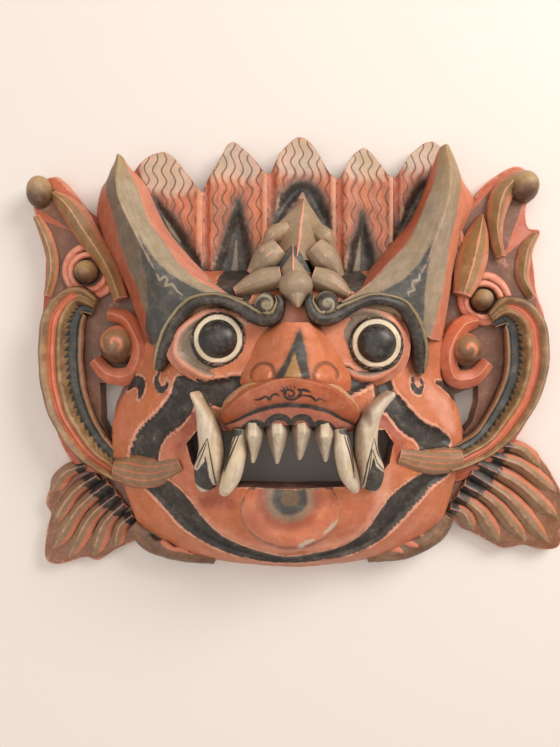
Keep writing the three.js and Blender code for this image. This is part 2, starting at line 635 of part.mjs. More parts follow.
function meshOf(name, solid, colour) {
  const box = solid.boundingBox();
  const centred = solid.translate([-(box.min[0] + box.max[0]) / 2, -(box.min[1] + box.max[1]) / 2, 0]);
  const made = centred.getMesh();
  const geometry = new THREE.BufferGeometry();
  geometry.setAttribute("position", new THREE.BufferAttribute(new Float32Array(made.vertProperties), 3));
  geometry.setIndex(new THREE.BufferAttribute(new Uint32Array(made.triVerts), 1));
  geometry.computeVertexNormals();
  const material = new THREE.MeshStandardMaterial({ color: colour, roughness: 0.55, metalness: 0 });
  const mesh = new THREE.Mesh(geometry, material);
  mesh.name = name;
  return mesh;
}

const root = new THREE.Group();
root.add(meshOf("mask", mask(), 0xbe6b48));
export default root;
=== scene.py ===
"""Barong mask: a demon's face carved from one block of light wood, painted by brush and worn at the edges.

It lies on its back on a pale table: +Z comes out of the face, +Y points to the crown. The carving is
drawn in millimetres about the bridge of the nose and moved into the frame at the end.
"""
import math

import bpy
import numpy as np
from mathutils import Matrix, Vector
from mathutils.bvhtree import BVHTree


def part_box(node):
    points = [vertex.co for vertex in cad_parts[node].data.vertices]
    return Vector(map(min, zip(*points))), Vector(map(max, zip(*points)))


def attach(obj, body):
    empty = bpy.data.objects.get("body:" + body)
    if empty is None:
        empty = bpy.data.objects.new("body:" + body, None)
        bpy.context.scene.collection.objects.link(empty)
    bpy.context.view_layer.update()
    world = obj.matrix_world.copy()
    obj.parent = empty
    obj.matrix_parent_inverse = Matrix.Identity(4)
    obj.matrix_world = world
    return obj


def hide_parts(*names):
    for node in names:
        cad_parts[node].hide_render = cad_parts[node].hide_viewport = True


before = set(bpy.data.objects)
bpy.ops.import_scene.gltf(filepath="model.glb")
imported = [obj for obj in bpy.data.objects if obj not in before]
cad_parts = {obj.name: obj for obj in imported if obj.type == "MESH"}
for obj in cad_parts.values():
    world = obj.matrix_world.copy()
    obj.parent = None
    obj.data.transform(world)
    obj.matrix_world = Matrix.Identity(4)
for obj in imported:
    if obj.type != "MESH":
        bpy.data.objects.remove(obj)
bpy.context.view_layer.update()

MM = 0.001
NODE = "mask"
LOW, HIGH = (np.array(corner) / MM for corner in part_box(NODE))
RIGHT_FIN_TIP = 158
CROWN_TIP = 134.5
NOSE_BRIDGE = np.array([HIGH[0] - RIGHT_FIN_TIP, HIGH[1] - CROWN_TIP, 0])

FOOT = 2  # where carved strips start inside the boards
BELOW = -2  # forms that reach the back start here, and the back is then planed flat


# ---- curves and fields on the plan ----
def smooth(keys, count, closed=False):
    """Points on a smooth curve through the keys, which may be rows of points."""
    keys = np.asarray(keys, float)
    if closed:
        keys = np.concatenate([keys[-1:], keys, keys[:2]])
        place = np.linspace(1, len(keys) - 2, count, endpoint=False)
    else:
        place = np.linspace(0, len(keys) - 1, count)
    span = np.minimum(place.astype(int), len(keys) - 2)
    t = (place - span).reshape(-1, *[1] * (keys.ndim - 1))
    before, after = keys[np.maximum(span - 1, 0)], keys[np.minimum(span + 2, len(keys) - 1)]
    a, b = keys[span], keys[span + 1]
    bend = t * (2 * before - 5 * a + 4 * b - after + t * (3 * (a - b) + after - before))
    return a + 0.5 * t * (b - before + bend)


def ease(value, low, high):
    """0 under low, 1 over high, and a smooth step between them."""
    t = np.clip((value - low) / (high - low), 0, 1)
    return t * t * (3 - 2 * t)


def beside(x, y, line):
    """Distance from a line on the plan, over 0 on its left, and the place along it that is nearest."""
    best = np.full(np.shape(x), 1e6)
    signed = np.zeros(np.shape(x))
    place = np.zeros(np.shape(x))
    for i, (a, b) in enumerate(zip(line[:-1], line[1:])):
        dx, dy = b[0] - a[0], b[1] - a[1]
        t = np.clip(((x - a[0]) * dx + (y - a[1]) * dy) / (dx * dx + dy * dy + 1e-9), 0, 1)
        ox, oy = x - a[0] - t * dx, y - a[1] - t * dy
        away = np.hypot(ox, oy)
        nearer = away < best
        best = np.where(nearer, away, best)
        signed = np.where(nearer, np.where(dx * oy - dy * ox < 0, -away, away), signed)
        place = np.where(nearer, i + t, place)
    return signed, place


def along_line(line, place, column):
    return np.interp(place, np.arange(len(line)), line[:, column])


def stroke(keys):
    """Signed distance from a brush stroke, under 0 inside it. Each key is [x, y, half width]."""
    line = smooth(keys, 6 * len(keys))

    def field(x, y):
        signed, place = beside(x, y, line)
        return np.abs(signed) - along_line(line, place, 2)

    return field


def strokes(*lists):
    return either(*[stroke(keys) for keys in lists])


def patch(outline, rounded=True):
    """Signed distance from a painted patch, under 0 inside it."""
    loop = smooth(outline, 6 * len(outline), closed=True) if rounded else np.asarray(outline, float)
    loop = np.concatenate([loop, loop[:1]])

    def field(x, y):
        inside = np.zeros(np.shape(x), bool)
        for a, b in zip(loop[:-1], loop[1:]):
            spans = (a[1] > y) != (b[1] > y)
            inside ^= spans & (x < a[0] + (y - a[1]) * (b[0] - a[0]) / (b[1] - a[1] + 1e-12))
        signed, _ = beside(x, y, loop)
        return np.where(inside, -np.abs(signed), np.abs(signed))

    return field


def either(*fields):
    return lambda x, y: np.minimum.reduce([field(x, y) for field in fields])


RIDGE = [[-1, 0], [-0.5, 0.55], [0, 1], [0.5, 0.55], [1, 0]]
ROUND = [[-1, 0], [-0.85, 0.5], [-0.5, 0.87], [0, 1], [0.5, 0.87], [0.85, 0.5], [1, 0]]
NOWHERE = -60.0


def ridge(keys, section=ROUND, flip=1):
    """Height of a carved ridge. Each key is [x, y, half width, height of its edges, rise]."""
    line = smooth(keys, 8 * len(keys))

    def height(x, y):
        signed, place = beside(x, y, line)
        u = flip * signed / np.maximum(along_line(line, place, 2), 0.2)
        up = np.interp(u, *np.transpose(section)) * along_line(line, place, 4)
        return np.where(np.abs(u) < 1, along_line(line, place, 3) + up, NOWHERE)

    return height


def gouge(keys):
    """Depth of a gouged groove. Each key is [x, y, half width, depth]."""
    line = smooth(keys, 8 * len(keys))

    def depth(x, y):
        signed, place = beside(x, y, line)
        u = signed / np.maximum(along_line(line, place, 2), 0.2)
        return np.where(np.abs(u) < 1, (1 - u * u) * along_line(line, place, 3), 0.0)

    return depth


def bump(x0, y0, radius, edge, rise):
    """Height of a round boss."""

    def height(x, y):
        u = np.hypot(x - x0, y - y0) / radius
        return np.where(u < 1, edge + rise * np.sqrt(np.maximum(1 - u * u, 0)), NOWHERE)

    return height


def arc(x, y, radius, start, end, *rest):
    """Keys round an arc, from one bearing to another in degrees, each ending in the rest."""
    turns = np.radians(np.linspace(start, end, 9))
    return [[x + radius * math.cos(a), y + radius * math.sin(a), *rest] for a in turns]


def highest(*heights):
    return lambda x, y: np.maximum.reduce([height(x, y) for height in heights])


def lowered(height, *gouges):
    return lambda x, y: height(x, y) - np.maximum.reduce([depth(x, y) for depth in gouges])


# ---- closed carved forms ----
# A finish follows these fields, which each point of a form holds.
FIELDS = {"along": 0.0, "across": 0.0, "dark": 9.0, "light": 9.0, "pale": 9.0, "tone": 9.0}


def form(name, points, faces, finish, **fields):
    """A closed mesh in the frame, with its finish and the fields that the finish follows."""
    points = np.asarray(points, float)
    mesh = bpy.data.meshes.new(name)
    mesh.from_pydata((points + NOSE_BRIDGE) * MM, [], faces)
    for field, usual in FIELDS.items():
        values = np.broadcast_to(fields.get(field, usual), len(points)).astype(np.float32)
        mesh.attributes.new(field, "FLOAT", "POINT").data.foreach_set("value", values)
    mesh.materials.append(finish)
    made = bpy.data.objects.new(name, mesh)
    bpy.context.scene.collection.objects.link(made)
    if volume(mesh) < 0:
        mesh.flip_normals()
    return made


def volume(mesh):
    """The signed volume that a closed mesh holds."""
    mesh.calc_loop_triangles()
    corners = np.zeros(3 * len(mesh.loop_triangles), np.int32)
    mesh.loop_triangles.foreach_get("vertices", corners)
    a, b, c = places_of(mesh)[corners.reshape(-1, 3)].transpose(1, 0, 2)
    return float(np.einsum("ij,ij->", a, np.cross(b, c)))


def places_of(mesh):
    places = np.zeros(3 * len(mesh.vertices), np.float32)
    mesh.vertices.foreach_get("co", places)
    return places.reshape(-1, 3).astype(float) / MM


def quads(rows, width, close_rows=False, close_width=True):
    """Faces between rows of points, numbered row by row."""
    faces = []
    for i in range(rows if close_rows else rows - 1):
        a, d = i * width, (i + 1) % rows * width
        for j in range(width if close_width else width - 1):
            k = (j + 1) % width
            faces.append((a + j, a + k, d + k, d + j))
    return faces


def relief(name, top, level, finish, **fields):
    """A carved surface, given as rows of points, on walls straight down to one level."""
    top = np.asarray(top, float)
    rows, width = top.shape[:2]
    feet = top[:, [0, -1]].copy()
    feet[..., 2] = level
    points = np.concatenate([feet[:, :1], top, feet[:, 1:]], axis=1)
    faces = quads(rows, width + 2)
    faces.append(tuple(reversed(range(width + 2))))
    faces.append(tuple((rows - 1) * (width + 2) + j for j in range(width + 2)))
    plan = {"along": np.linspace(0, 1, rows)[:, None], "across": np.linspace(-1, 1, width)[None, :]}
    plan.update(fields)
    spread = {}
    for field, values in plan.items():
        values = values(top[..., 0], top[..., 1]) if callable(values) else values
        values = np.broadcast_to(values, (rows, width))
        spread[field] = np.concatenate([values[:, :1], values, values[:, -1:]], axis=1).ravel()
    return form(name, points.reshape(-1, 3), faces, finish, **spread)


def strip(name, keys, finish, section=ROUND, rows=None, width=17, level=FOOT, carve=None, **fields):
    """A carved strip. Each key is [x, y, half width, height of its edges, rise]."""
    rows = rows or 8 * len(keys)
    line = smooth(keys, rows)
    way = np.gradient(line[:, :2], axis=0)
    way /= np.linalg.norm(way, axis=1, keepdims=True) + 1e-9
    u = np.linspace(-1, 1, width)
    half = np.maximum(line[:, 2:3], 0.25)
    x = line[:, 0:1] - way[:, 1:2] * u * half
    y = line[:, 1:2] + way[:, 0:1] * u * half
    z = line[:, 3:4] + np.interp(u, *np.transpose(section)) * line[:, 4:5]
    points = np.stack([x, y, z], axis=-1)
    if carve:
        carve(np.linspace(0, 1, rows)[:, None], u[None, :], points)
    return relief(name, points, level, finish, **fields)


def dome(name, x, y, z, rx, ry, rise, finish, level=FOOT, sides=48, rings=10, fullness=2.0, **fields):
    """A low dome on an upright drum, with the offsets from its middle as along and across."""
    turn = np.linspace(0, 2 * math.pi, sides, endpoint=False)
    bend = np.linspace(0, math.pi / 2, rings, endpoint=False)
    radius = np.cos(bend)
    height = z + rise * (1 - radius**fullness) ** (1 / fullness)
    radius = np.concatenate([[1], radius])
    height = np.concatenate([[level], height])
    px = x + rx * radius[:, None] * np.cos(turn)
    py = y + ry * radius[:, None] * np.sin(turn)
    points = np.stack([px, py, np.broadcast_to(height[:, None], px.shape)], axis=-1).reshape(-1, 3)
    points = np.concatenate([points, [[x, y, z + rise]]])
    last = len(points) - 1
    faces = quads(rings + 1, sides)
    faces += [(last - sides + j, last - sides + (j + 1) % sides, last) for j in range(sides)]
    faces.append(tuple(reversed(range(sides))))
    plan = {"along": lambda a, b: a - x, "across": lambda a, b: b - y}
    plan.update(fields)
    spread = {f: v(points[:, 0], points[:, 1]) if callable(v) else v for f, v in plan.items()}
    return form(name, points, faces, finish, **spread)


def prism(name, outline, low, high, finish, **fields):
    """An upright block on an outline."""
    outline = np.asarray(outline, float)
    count = len(outline)
    points = np.concatenate([np.column_stack([outline, np.full(count, float(z))]) for z in (low, high)])
    faces = quads(2, count)
    faces.append(tuple(reversed(range(count))))
    faces.append(tuple(range(count, 2 * count)))
    spread = {f: v(points[:, 0], points[:, 1]) if callable(v) else v for f, v in fields.items()}
    return form(name, points, faces, finish, **spread)


def panel(name, outline, height, spacing, finish, level=BELOW, **fields):
    """A relief on a board that is cut to an outline. height(x, y) gives its front."""
    length = np.linalg.norm(np.diff(outline, axis=0), axis=1).sum()
    edge = smooth(outline, int(length / (1.6 * spacing)), closed=True)
    low, high = edge.min(axis=0) - spacing, edge.max(axis=0) + spacing
    x = np.arange(low[0], high[0] + spacing, spacing)
    y = np.arange(low[1], high[1] + spacing, spacing)
    x, y = np.meshgrid(x, y)
    slab = relief(name + "_slab", np.stack([x, y, height(x, y)], axis=-1), level, finish, **fields)
    block = prism(name + "_block", edge, level - 5, 130, finish, **fields)
    return carve(name, [("UNION", [slab]), ("INTERSECT", [block])])


def strip_points(keys, section, rows, width):
    """Rows of points across a strip. Each key is [x, y, half width, height of its edges, rise]."""
    line = smooth(keys, rows)
    way = np.gradient(line[:, :2], axis=0)
    way /= np.linalg.norm(way, axis=1, keepdims=True) + 1e-9
    u = np.linspace(-1, 1, width)
    v = np.interp(u, *np.transpose(section))
    half = np.maximum(line[:, 2:3], 0.25)
    x = line[:, 0:1] - way[:, 1:2] * u * half
    y = line[:, 1:2] + way[:, 0:1] * u * half
    z = line[:, 3:4] + v * line[:, 4:5]
    return np.stack([x, y, z], axis=-1)


def rim(name, line, thickness, finish, sides=10, squash=1.0, **fields):
    """A closed roll along a loop of points, [x, y, z] each."""
    line = np.asarray(line, float)
    way = np.roll(line, -1, axis=0) - np.roll(line, 1, axis=0)
    out = np.stack([way[:, 1], -way[:, 0], 0 * way[:, 0]], axis=-1)
    out /= np.linalg.norm(out, axis=1, keepdims=True)
    turn = np.linspace(0, 2 * math.pi, sides, endpoint=False)
    side = thickness * np.cos(turn)[None, :, None] * out[:, None]
    up = thickness * squash * np.sin(turn)[None, :, None] * np.array([0, 0, 1.0])
    points = (line[:, None] + side + up).reshape(-1, 3)
    middle = line.mean(axis=0)
    plan = {"along": lambda a, b: a - middle[0], "across": lambda a, b: b - middle[1]}
    plan.update(fields)
    spread = {f: v(points[:, 0], points[:, 1]) if callable(v) else v for f, v in plan.items()}
    return form(name, points, quads(len(line), sides, close_rows=True), finish, **spread)


def oval(x, y, z, rx, ry, count=56):
    turn = np.linspace(0, 2 * math.pi, count, endpoint=False)
    return np.stack([x + rx * np.cos(turn), y + ry * np.sin(turn), np.full(count, float(z))], axis=-1)


def board(name, outline, top, finish, slope=2.0, spacing=2.5, **fields):
    """A flat board with an eased front edge, on a grid that follows its outline inwards."""
    edge = smooth(outline, int(perimeter(outline) / spacing), closed=True)
    middle = edge.mean(axis=0)
    steps = [(0.0, BELOW), (0.0, top - slope), (slope * 0.4, top - slope * 0.3), (slope, top)]
    way = np.roll(edge, -1, axis=0) - np.roll(edge, 1, axis=0)
    way /= np.linalg.norm(way, axis=1, keepdims=True)
    inward = np.stack([-way[:, 1], way[:, 0]], axis=-1)
    if ((middle - edge) * inward).sum() < 0:
        inward = -inward
    rings = [np.column_stack([edge + inward * inset, np.full(len(edge), z)]) for inset, z in steps]
    points = np.concatenate(rings)
    count = len(edge)
    faces = quads(len(steps), count)
    faces.append(tuple(reversed(range(count))))
    faces.append(tuple(range((len(steps) - 1) * count, len(steps) * count)))
    spread = {f: v(points[:, 0], points[:, 1]) if callable(v) else v for f, v in fields.items()}
    return form(name, points, faces, finish, **spread)


def perimeter(outline):
    return np.linalg.norm(np.diff(outline, axis=0, append=outline[:1]), axis=1).sum()




# ---- finishes ----
def tint(red, green, blue):
    """A paint's colour, mixed on a scale of 0 to 255, as Blender's linear numbers."""
    return tuple(((c / 255 + 0.055) / 1.055) ** 2.4 for c in (red, green, blue)) + (1.0,)


ORANGE = tint(204, 116, 82)
OCHRE = tint(196, 112, 68)
DEEP_ORANGE = tint(158, 72, 46)
DARK_RED = tint(128, 56, 40)
SALMON = tint(224, 154, 128)
BLACK = tint(50, 43, 39)
SLATE = tint(82, 82, 78)
BROWN = tint(108, 76, 54)
TAUPE = tint(156, 136, 112)
OLIVE = tint(136, 112, 74)
GOLD = tint(168, 132, 82)
CREAM = tint(222, 202, 176)
BONE = tint(206, 186, 162)
GUM = tint(178, 104, 84)
LIP_RED = tint(168, 84, 50)
MAROON = tint(96, 56, 50)
HOLLOW_WOOD = tint(176, 128, 98)


class Signal:
    """A node's output, which sums, products and steps are written with."""

    def __init__(self, paint, socket):
        self.paint, self.socket = paint, socket

    def math(self, operation, *others):
        return self.paint.math(operation, self, *others)

    def __add__(self, other):
        return self.math("ADD", other)

    def __sub__(self, other):
        return self.math("SUBTRACT", other)

    def __mul__(self, other):
        return self.math("MULTIPLY", other)

    def __truediv__(self, other):
        return self.math("DIVIDE", other)

    def abs(self):
        return self.math("ABSOLUTE")

    def sine(self):
        return self.math("SINE")

    def fraction(self):
        return self.math("FRACT")

    def most(self, other):
        return self.math("MAXIMUM", other)

    def least(self, other):
        return self.math("MINIMUM", other)

    def over(self, edge, soft=0.1):
        """1 over the edge, 0 under it, with a soft step between."""
        return self.paint.step(self, edge - soft, edge + soft)

    def under(self, edge, soft=0.1):
        return self.paint.step(self, edge + soft, edge - soft)

    def between(self, low, high, soft=0.1):
        return self.over(low, soft) * self.under(high, soft)


class Paint:
    """The nodes of one finish or of one shared effect."""

    def __init__(self, tree):
        self.tree = tree

    def node(self, kind, *inputs, **settings):
        made = self.tree.nodes.new("ShaderNode" + kind)
        for setting, value in settings.items():
            setattr(made, setting, value)
        for socket, value in zip(made.inputs, inputs):
            self.feed(socket, value)
        return made

    def feed(self, socket, value):
        if isinstance(value, Signal):
            self.tree.links.new(value.socket, socket)
        elif value is not None:
            socket.default_value = value

    def math(self, operation, *inputs):
        return Signal(self, self.node("Math", *inputs, operation=operation).outputs[0])

    def vector(self, operation, *inputs):
        made = self.node("VectorMath", *inputs, operation=operation)
        return Signal(self, made.outputs["Value" if operation in ("DOT_PRODUCT", "LENGTH") else "Vector"])

    def step(self, value, low, high):
        """0 at low and 1 at high, which may lie under low."""
        made = self.node("MapRange", value, interpolation_type="SMOOTHSTEP")
        turned = high < low
        self.feed(made.inputs["From Min"], high if turned else low)
        self.feed(made.inputs["From Max"], low if turned else high)
        self.feed(made.inputs["To Min"], 1.0 if turned else 0.0)
        self.feed(made.inputs["To Max"], 0.0 if turned else 1.0)
        return Signal(self, made.outputs[0])

    def mix(self, factor, a, b, blend="MIX"):
        made = self.node("Mix", data_type="RGBA", blend_type=blend)
        for name, value in (("Factor_Float", factor), ("A_Color", a), ("B_Color", b)):
            self.feed(next(s for s in made.inputs if s.identifier == name), value)
        return Signal(self, next(s for s in made.outputs if s.identifier == "Result_Color"))

    def layers(self, base, *coats):
        """Coats of paint on a base, each a mask and a colour."""
        for mask, colour in coats:
            base = self.mix(mask, base, colour)
        return base

    def field(self, name):
        return Signal(self, self.node("Attribute", attribute_name=name).outputs["Fac"])

    def polar(self):
        """Distance and bearing from the middle of a dome, in millimetres and turns."""
        x, y = self.field("along"), self.field("across")
        return (x * x + y * y).math("SQRT"), y.math("ARCTAN2", x) / math.tau

    def place(self, scale=(1, 1, 1), start=(0, 0, 0)):
        """Where a point is on the mask, in millimetres along each axis."""
        mapping = self.node("Mapping", Signal(self, self.node("TexCoord").outputs["Object"]))
        mapping.inputs["Scale"].default_value = [s / MM for s in scale]
        mapping.inputs["Location"].default_value = start
        return Signal(self, mapping.outputs[0])

    def drawing(self):
        """Where a point is on the drawing of the mask, with no height."""
        return self.place((1, 1, 0), -NOSE_BRIDGE)

    def noise(self, size, detail=2.0, scale=(1, 1, 1), roughness=0.5):
        made = self.node("TexNoise", self.place(scale))
        made.inputs["Scale"].default_value = 1 / size
        made.inputs["Detail"].default_value = detail
        made.inputs["Roughness"].default_value = roughness
        return Signal(self, made.outputs["Fac"])

    def group(self, tree, *inputs):
        made = self.node("Group", node_tree=tree)
        for socket, value in zip(made.inputs, inputs):
            self.feed(socket, value)
        return [Signal(self, socket) for socket in made.outputs]

    def brush(self, *lines):
        """Signed distance from thin brush strokes, under 0 inside them. Keys: [x, y, half width]."""
        spot = self.drawing()
        nearest = None
        for line in lines:
            for (ax, ay, wide), (bx, by, thin) in zip(line[:-1], line[1:]):
                away = self.group(BRUSH_STROKE, spot, (ax, ay, 0), (bx, by, 0), wide, thin)[0]
                nearest = nearest.least(away) if nearest else away
        return nearest


def effect(name, inputs, outputs, build):
    """A shader node group, built once and placed in each finish."""
    tree = bpy.data.node_groups.new(name, "ShaderNodeTree")
    kinds = {"value": "NodeSocketFloat", "colour": "NodeSocketColor", "vector": "NodeSocketVector"}
    for socket, kind in inputs.items():
        tree.interface.new_socket(socket, in_out="INPUT", socket_type=kinds[kind])
    for socket, kind in outputs.items():
        tree.interface.new_socket(socket, in_out="OUTPUT", socket_type=kinds[kind])
    paint = Paint(tree)
    entry, leave = tree.nodes.new("NodeGroupInput"), tree.nodes.new("NodeGroupOutput")
    results = build(paint, *[Signal(paint, socket) for socket in entry.outputs[: len(inputs)]])
    for socket, result in zip(leave.inputs, results):
        paint.feed(socket, result)
    return tree


def brush_stroke(paint, place, start, end, start_width, end_width):
    """Signed distance from one straight stroke whose width changes along it."""
    way = paint.vector("SUBTRACT", end, start)
    away = paint.vector("SUBTRACT", place, start)
    part = paint.vector("DOT_PRODUCT", away, way) / paint.vector("DOT_PRODUCT", way, way)
    part = part.most(0.0).least(1.0)
    foot = paint.vector("MULTIPLY", way, part)
    half = start_width + (end_width - start_width) * part
    return [paint.vector("LENGTH", paint.vector("SUBTRACT", away, foot)) - half]


BRUSH_STROKE = effect(
    "brush stroke",
    {"Place": "vector", "Start": "vector", "End": "vector", "Start width": "value", "End width": "value"},
    {"Distance": "value"},
    brush_stroke,
)


def brushwork(paint, colour, worn, edge, hollow, wear):
    """Uneven brushed paint, rubbed pale on sharp edges, dusty with a painted sheen, and painted shade, brown, in
    creases and hollows.
    """
    broad = paint.noise(26, 3)
    middle = paint.noise(7, 3)
    fine = paint.noise(2.2, 4, roughness=0.65)
    hairs = paint.noise(1.3, 2, scale=(1, 0.3, 0.6))
    hairs_across = paint.noise(1.5, 2, scale=(0.35, 1, 0.6))
    shade = broad * 0.3 + middle * 0.26 + fine * 0.18 + hairs * 0.14 + hairs_across * 0.12
    shade = paint.step(shade, 0.3, 0.72) * 0.36 + 0.74
    shaded = paint.mix(1.0, colour, paint.mix(shade, tint(0, 0, 0), tint(255, 255, 255)), "MULTIPLY")
    ochre = paint.mix(1.0, shaded, tint(240, 222, 176), "MULTIPLY")
    # a faint pale veil in patches: dust, and a painted sheen that greys the blacks
    dust_and_sheen = (middle * 0.5 + fine * 0.5).over(0.56, 0.12) * 0.13
    uneven = (fine - 0.5) * 0.7 + (middle - 0.5) * 0.5
    rubbed = (edge + uneven).over(0.36, 0.14) * wear
    scuffed = (fine * 0.55 + middle * 0.45).over(0.66, 0.03) * wear * 0.55
    # painted shade: brown darkening where nearby surfaces shut a point in, in creases and hollows
    crease_shade = (hollow + uneven * 0.3).over(0.5, 0.36) * 0.62
    coloured = paint.layers(
        shaded,
        (broad.over(0.54, 0.14) * 0.5, ochre),
        (dust_and_sheen, tint(196, 172, 150)),
        (rubbed.most(scuffed), worn),
        (crease_shade, tint(64, 44, 34)),
    )
    roughness = fine * 0.2 + rubbed * 0.12 + 0.38
    height = fine * 0.3 + hairs * 0.3 + hairs_across * 0.2 + middle * 0.4
    return coloured, roughness, height


BRUSHWORK = effect(
    "brushwork",
    {"Colour": "colour", "Worn": "colour", "Edge": "value", "Hollow": "value", "Wear": "value"},
    {"Colour": "colour", "Roughness": "value", "Height": "value"},
    brushwork,
)


def finish(name, pattern, wear=0.6, worn=SALMON, gloss=0.0, bump=0.45):
    """A painted finish. pattern(paint) gives its colour, before brush marks, wear, dust, painted sheen and painted
    shade.
    """
    material = bpy.data.materials.new(name)
    material.use_nodes = True
    material.node_tree.nodes.clear()
    paint = Paint(material.node_tree)
    inputs = (pattern(paint), worn, paint.field("edge"), paint.field("hollow"), wear)
    colour, roughness, height = paint.group(BRUSHWORK, *inputs)
    shader = paint.node("BsdfPrincipled")
    bumped = paint.node("Bump")
    bumped.inputs["Strength"].default_value = bump
    bumped.inputs["Distance"].default_value = 0.4 * MM
    paint.feed(bumped.inputs["Height"], height)
    paint.feed(shader.inputs["Normal"], Signal(paint, bumped.outputs[0]))
    paint.feed(shader.inputs["Base Color"], colour)
    paint.feed(shader.inputs["Roughness"], roughness - gloss if gloss else roughness)
    out = paint.node("OutputMaterial")
    paint.tree.links.new(shader.outputs[0], out.inputs[0])
    return material


def mottled(first, second, size=9.0):
    return lambda paint: paint.mix(paint.noise(size, 3).over(0.5, 0.2), first, second)


def plain(colour):
    return lambda paint: paint.mix(paint.noise(9, 2), colour, colour)


# patterns of the finishes, one for each kind of carving

BARE_WOOD = tint(184, 138, 106)
BOARD = 13


def crest_pattern(paint):
    dark, light = paint.field("dark"), paint.field("light")
    streak = paint.noise(9, 3, scale=(0.6, 1, 1))
    return paint.layers(
        paint.mix(streak, tint(138, 118, 94), tint(172, 146, 120)),
        (light.under(0.0, 0.6), tint(204, 128, 98)),
        (dark.under(0.0, 0.5), tint(72, 74, 74)),
    )


CREST_PAINT = finish("crest paint", crest_pattern, wear=0.95, worn=tint(224, 148, 120))


def ear_pattern(paint):
    dark, light = paint.field("dark"), paint.field("light")
    broad = paint.noise(14, 3)
    return paint.layers(
        paint.mix(broad.over(0.5, 0.2), tint(196, 100, 68), tint(172, 82, 52)),
        (light.under(0.0, 0.8), tint(134, 104, 72)),
        (dark.under(0.0, 0.6), BLACK),
    )


EAR_PAINT = finish("ear paint", ear_pattern)


def loop_pattern(paint):
    along, across = paint.field("along"), paint.field("across")
    teeth = (along * 34.0).fraction() * 0.14
    brown = paint.mix(paint.noise(7, 3).over(0.5, 0.2), tint(128, 98, 68), tint(154, 120, 78))
    top = along.under(0.16, 0.03)
    return paint.layers(
        brown,
        (across.under(-0.88, 0.05), tint(70, 54, 44)),
        (across.between(-0.5, -0.14, 0.06) * along.over(0.12, 0.02), tint(206, 112, 80)),
        ((across + teeth).over(0.37, 0.02), tint(56, 54, 52)),
        (across.over(0.8, 0.04), tint(128, 104, 80)),
        (top * across.over(0.0, 0.3) * 0.0, SLATE),
        (across.over(0.97, 0.01), tint(176, 84, 54)),
    )


LOOP_PAINT = finish("loop paint", loop_pattern, wear=0.3, worn=tint(208, 136, 100))


def leaf_pattern(paint):
    across = paint.field("across")
    streak = paint.noise(8, 3)
    return paint.layers(
        paint.mix(streak, tint(126, 96, 62), tint(172, 136, 88)),
        (across.over(0.55, 0.15) * 0.8, tint(214, 134, 104)),
        (across.under(-0.7, 0.15) * 0.7, tint(190, 108, 76)),
    )


LEAF_PAINT = finish("leaf paint", leaf_pattern, wear=0.7)


def roll_pattern(paint):
    return paint.mix(paint.noise(8, 2), tint(214, 124, 94), tint(196, 104, 72))


ROLL_PAINT = finish("scroll paint", roll_pattern, worn=tint(228, 158, 132))


def ball_pattern(paint):
    y = paint.field("across")
    # painted light and shade: dark brown below the middle, gold above
    return paint.mix((y + (paint.noise(5) - 0.5) * 6).over(0, 5), tint(96, 66, 46), tint(172, 140, 98))


BALL_PAINT = finish("ball paint", ball_pattern, wear=0.4, worn=GOLD)


def boss_pattern(paint):
    x, y = paint.field("along"), paint.field("across")
    radius = (x * x + y * y).math("SQRT")
    angle = y.math("ARCTAN2", x)
    turn = (radius / 7.0 + angle * 0.159).fraction()
    return paint.layers(
        # painted light and shade: darker brown below, lighter above, and the salmon spiral shows only on the upper
        # half
        paint.mix((y + (paint.noise(5) - 0.5) * 5).over(-1, 5), tint(104, 74, 52), tint(150, 112, 80)),
        (turn.between(0.4, 0.72, 0.12) * y.over(-3, 4), tint(214, 130, 100)),
    )


BOSS_PAINT = finish("boss paint", boss_pattern, wear=0.4)


def fin_pattern(paint):
    along, across = paint.field("along"), paint.field("across")
    streak = paint.noise(8, 3)
    root = along + (paint.noise(3, 2) - 0.5) * 0.12
    return paint.layers(
        paint.mix(streak, tint(134, 104, 74), tint(160, 128, 98)),
        (across.over(0.35, 0.12) * 0.9, tint(208, 122, 92)),
        (across.under(-0.72, 0.12) * 0.8, tint(160, 88, 60)),
        (root.under(0.2, 0.02), tint(58, 54, 52)),
    )


FIN_PAINT = finish("fin paint", fin_pattern, wear=0.5)


def tie_pattern(paint):
    across = paint.field("across")
    crease = (across * 2.2 + paint.field("along") * 0.8).fraction()
    return paint.layers(
        paint.mix(paint.noise(9, 3), tint(130, 96, 68), tint(154, 118, 86)),
        (crease.between(0.42, 0.6, 0.1) * 0.85, tint(206, 112, 80)),
    )


TIE_PAINT = finish("tie paint", tie_pattern, wear=0.5)
FIN_BOARD_PAINT = finish("fin groove paint", plain(tint(140, 92, 68)))
MOUTH_PAINT = finish("mouth paint", plain(MAROON), wear=0.2)
RAW_WOOD = finish("raw wood", plain(BARE_WOOD), wear=0.0, gloss=-0.3)




# ---- the face ----
# Each key is [y, left edge, right edge, height at the middle, height at the edges].
FACE = [
    [58, -76, 74, 20, 10], [44, -82, 80, 52, 20], [20, -84, 84, 58, 24], [0, -88, 82, 60, 25],
    [-20, -98, 92, 62, 25], [-40, -100, 94, 64, 26], [-58, -95, 90, 62, 26], [-76, -90, 86, 54, 22],
    [-90, -84, 80, 44, 16], [-101, -68, 64, 34, 12], [-108, -38, 36, 20, 10], [-111, -10, 12, 12, 8],
]
LEFT_CHEEK = patch([
    [-61.2, -1.8], [-54, -2], [-46.3, -4.1], [-38, -3.2], [-27.5, -1.6], [-26.5, -9.3], [-31, -14.5],
    [-36.4, -17.2], [-44.3, -13.7], [-48, -11], [-50, -14], [-52.9, -20.2], [-59.3, -27.4],
    [-66, -32.7], [-69.8, -39], [-71.7, -46], [-80, -49], [-88, -46], [-84.7, -34.3], [-79.9, -27.9],
    [-71, -19.4], [-64.2, -10.2],
])
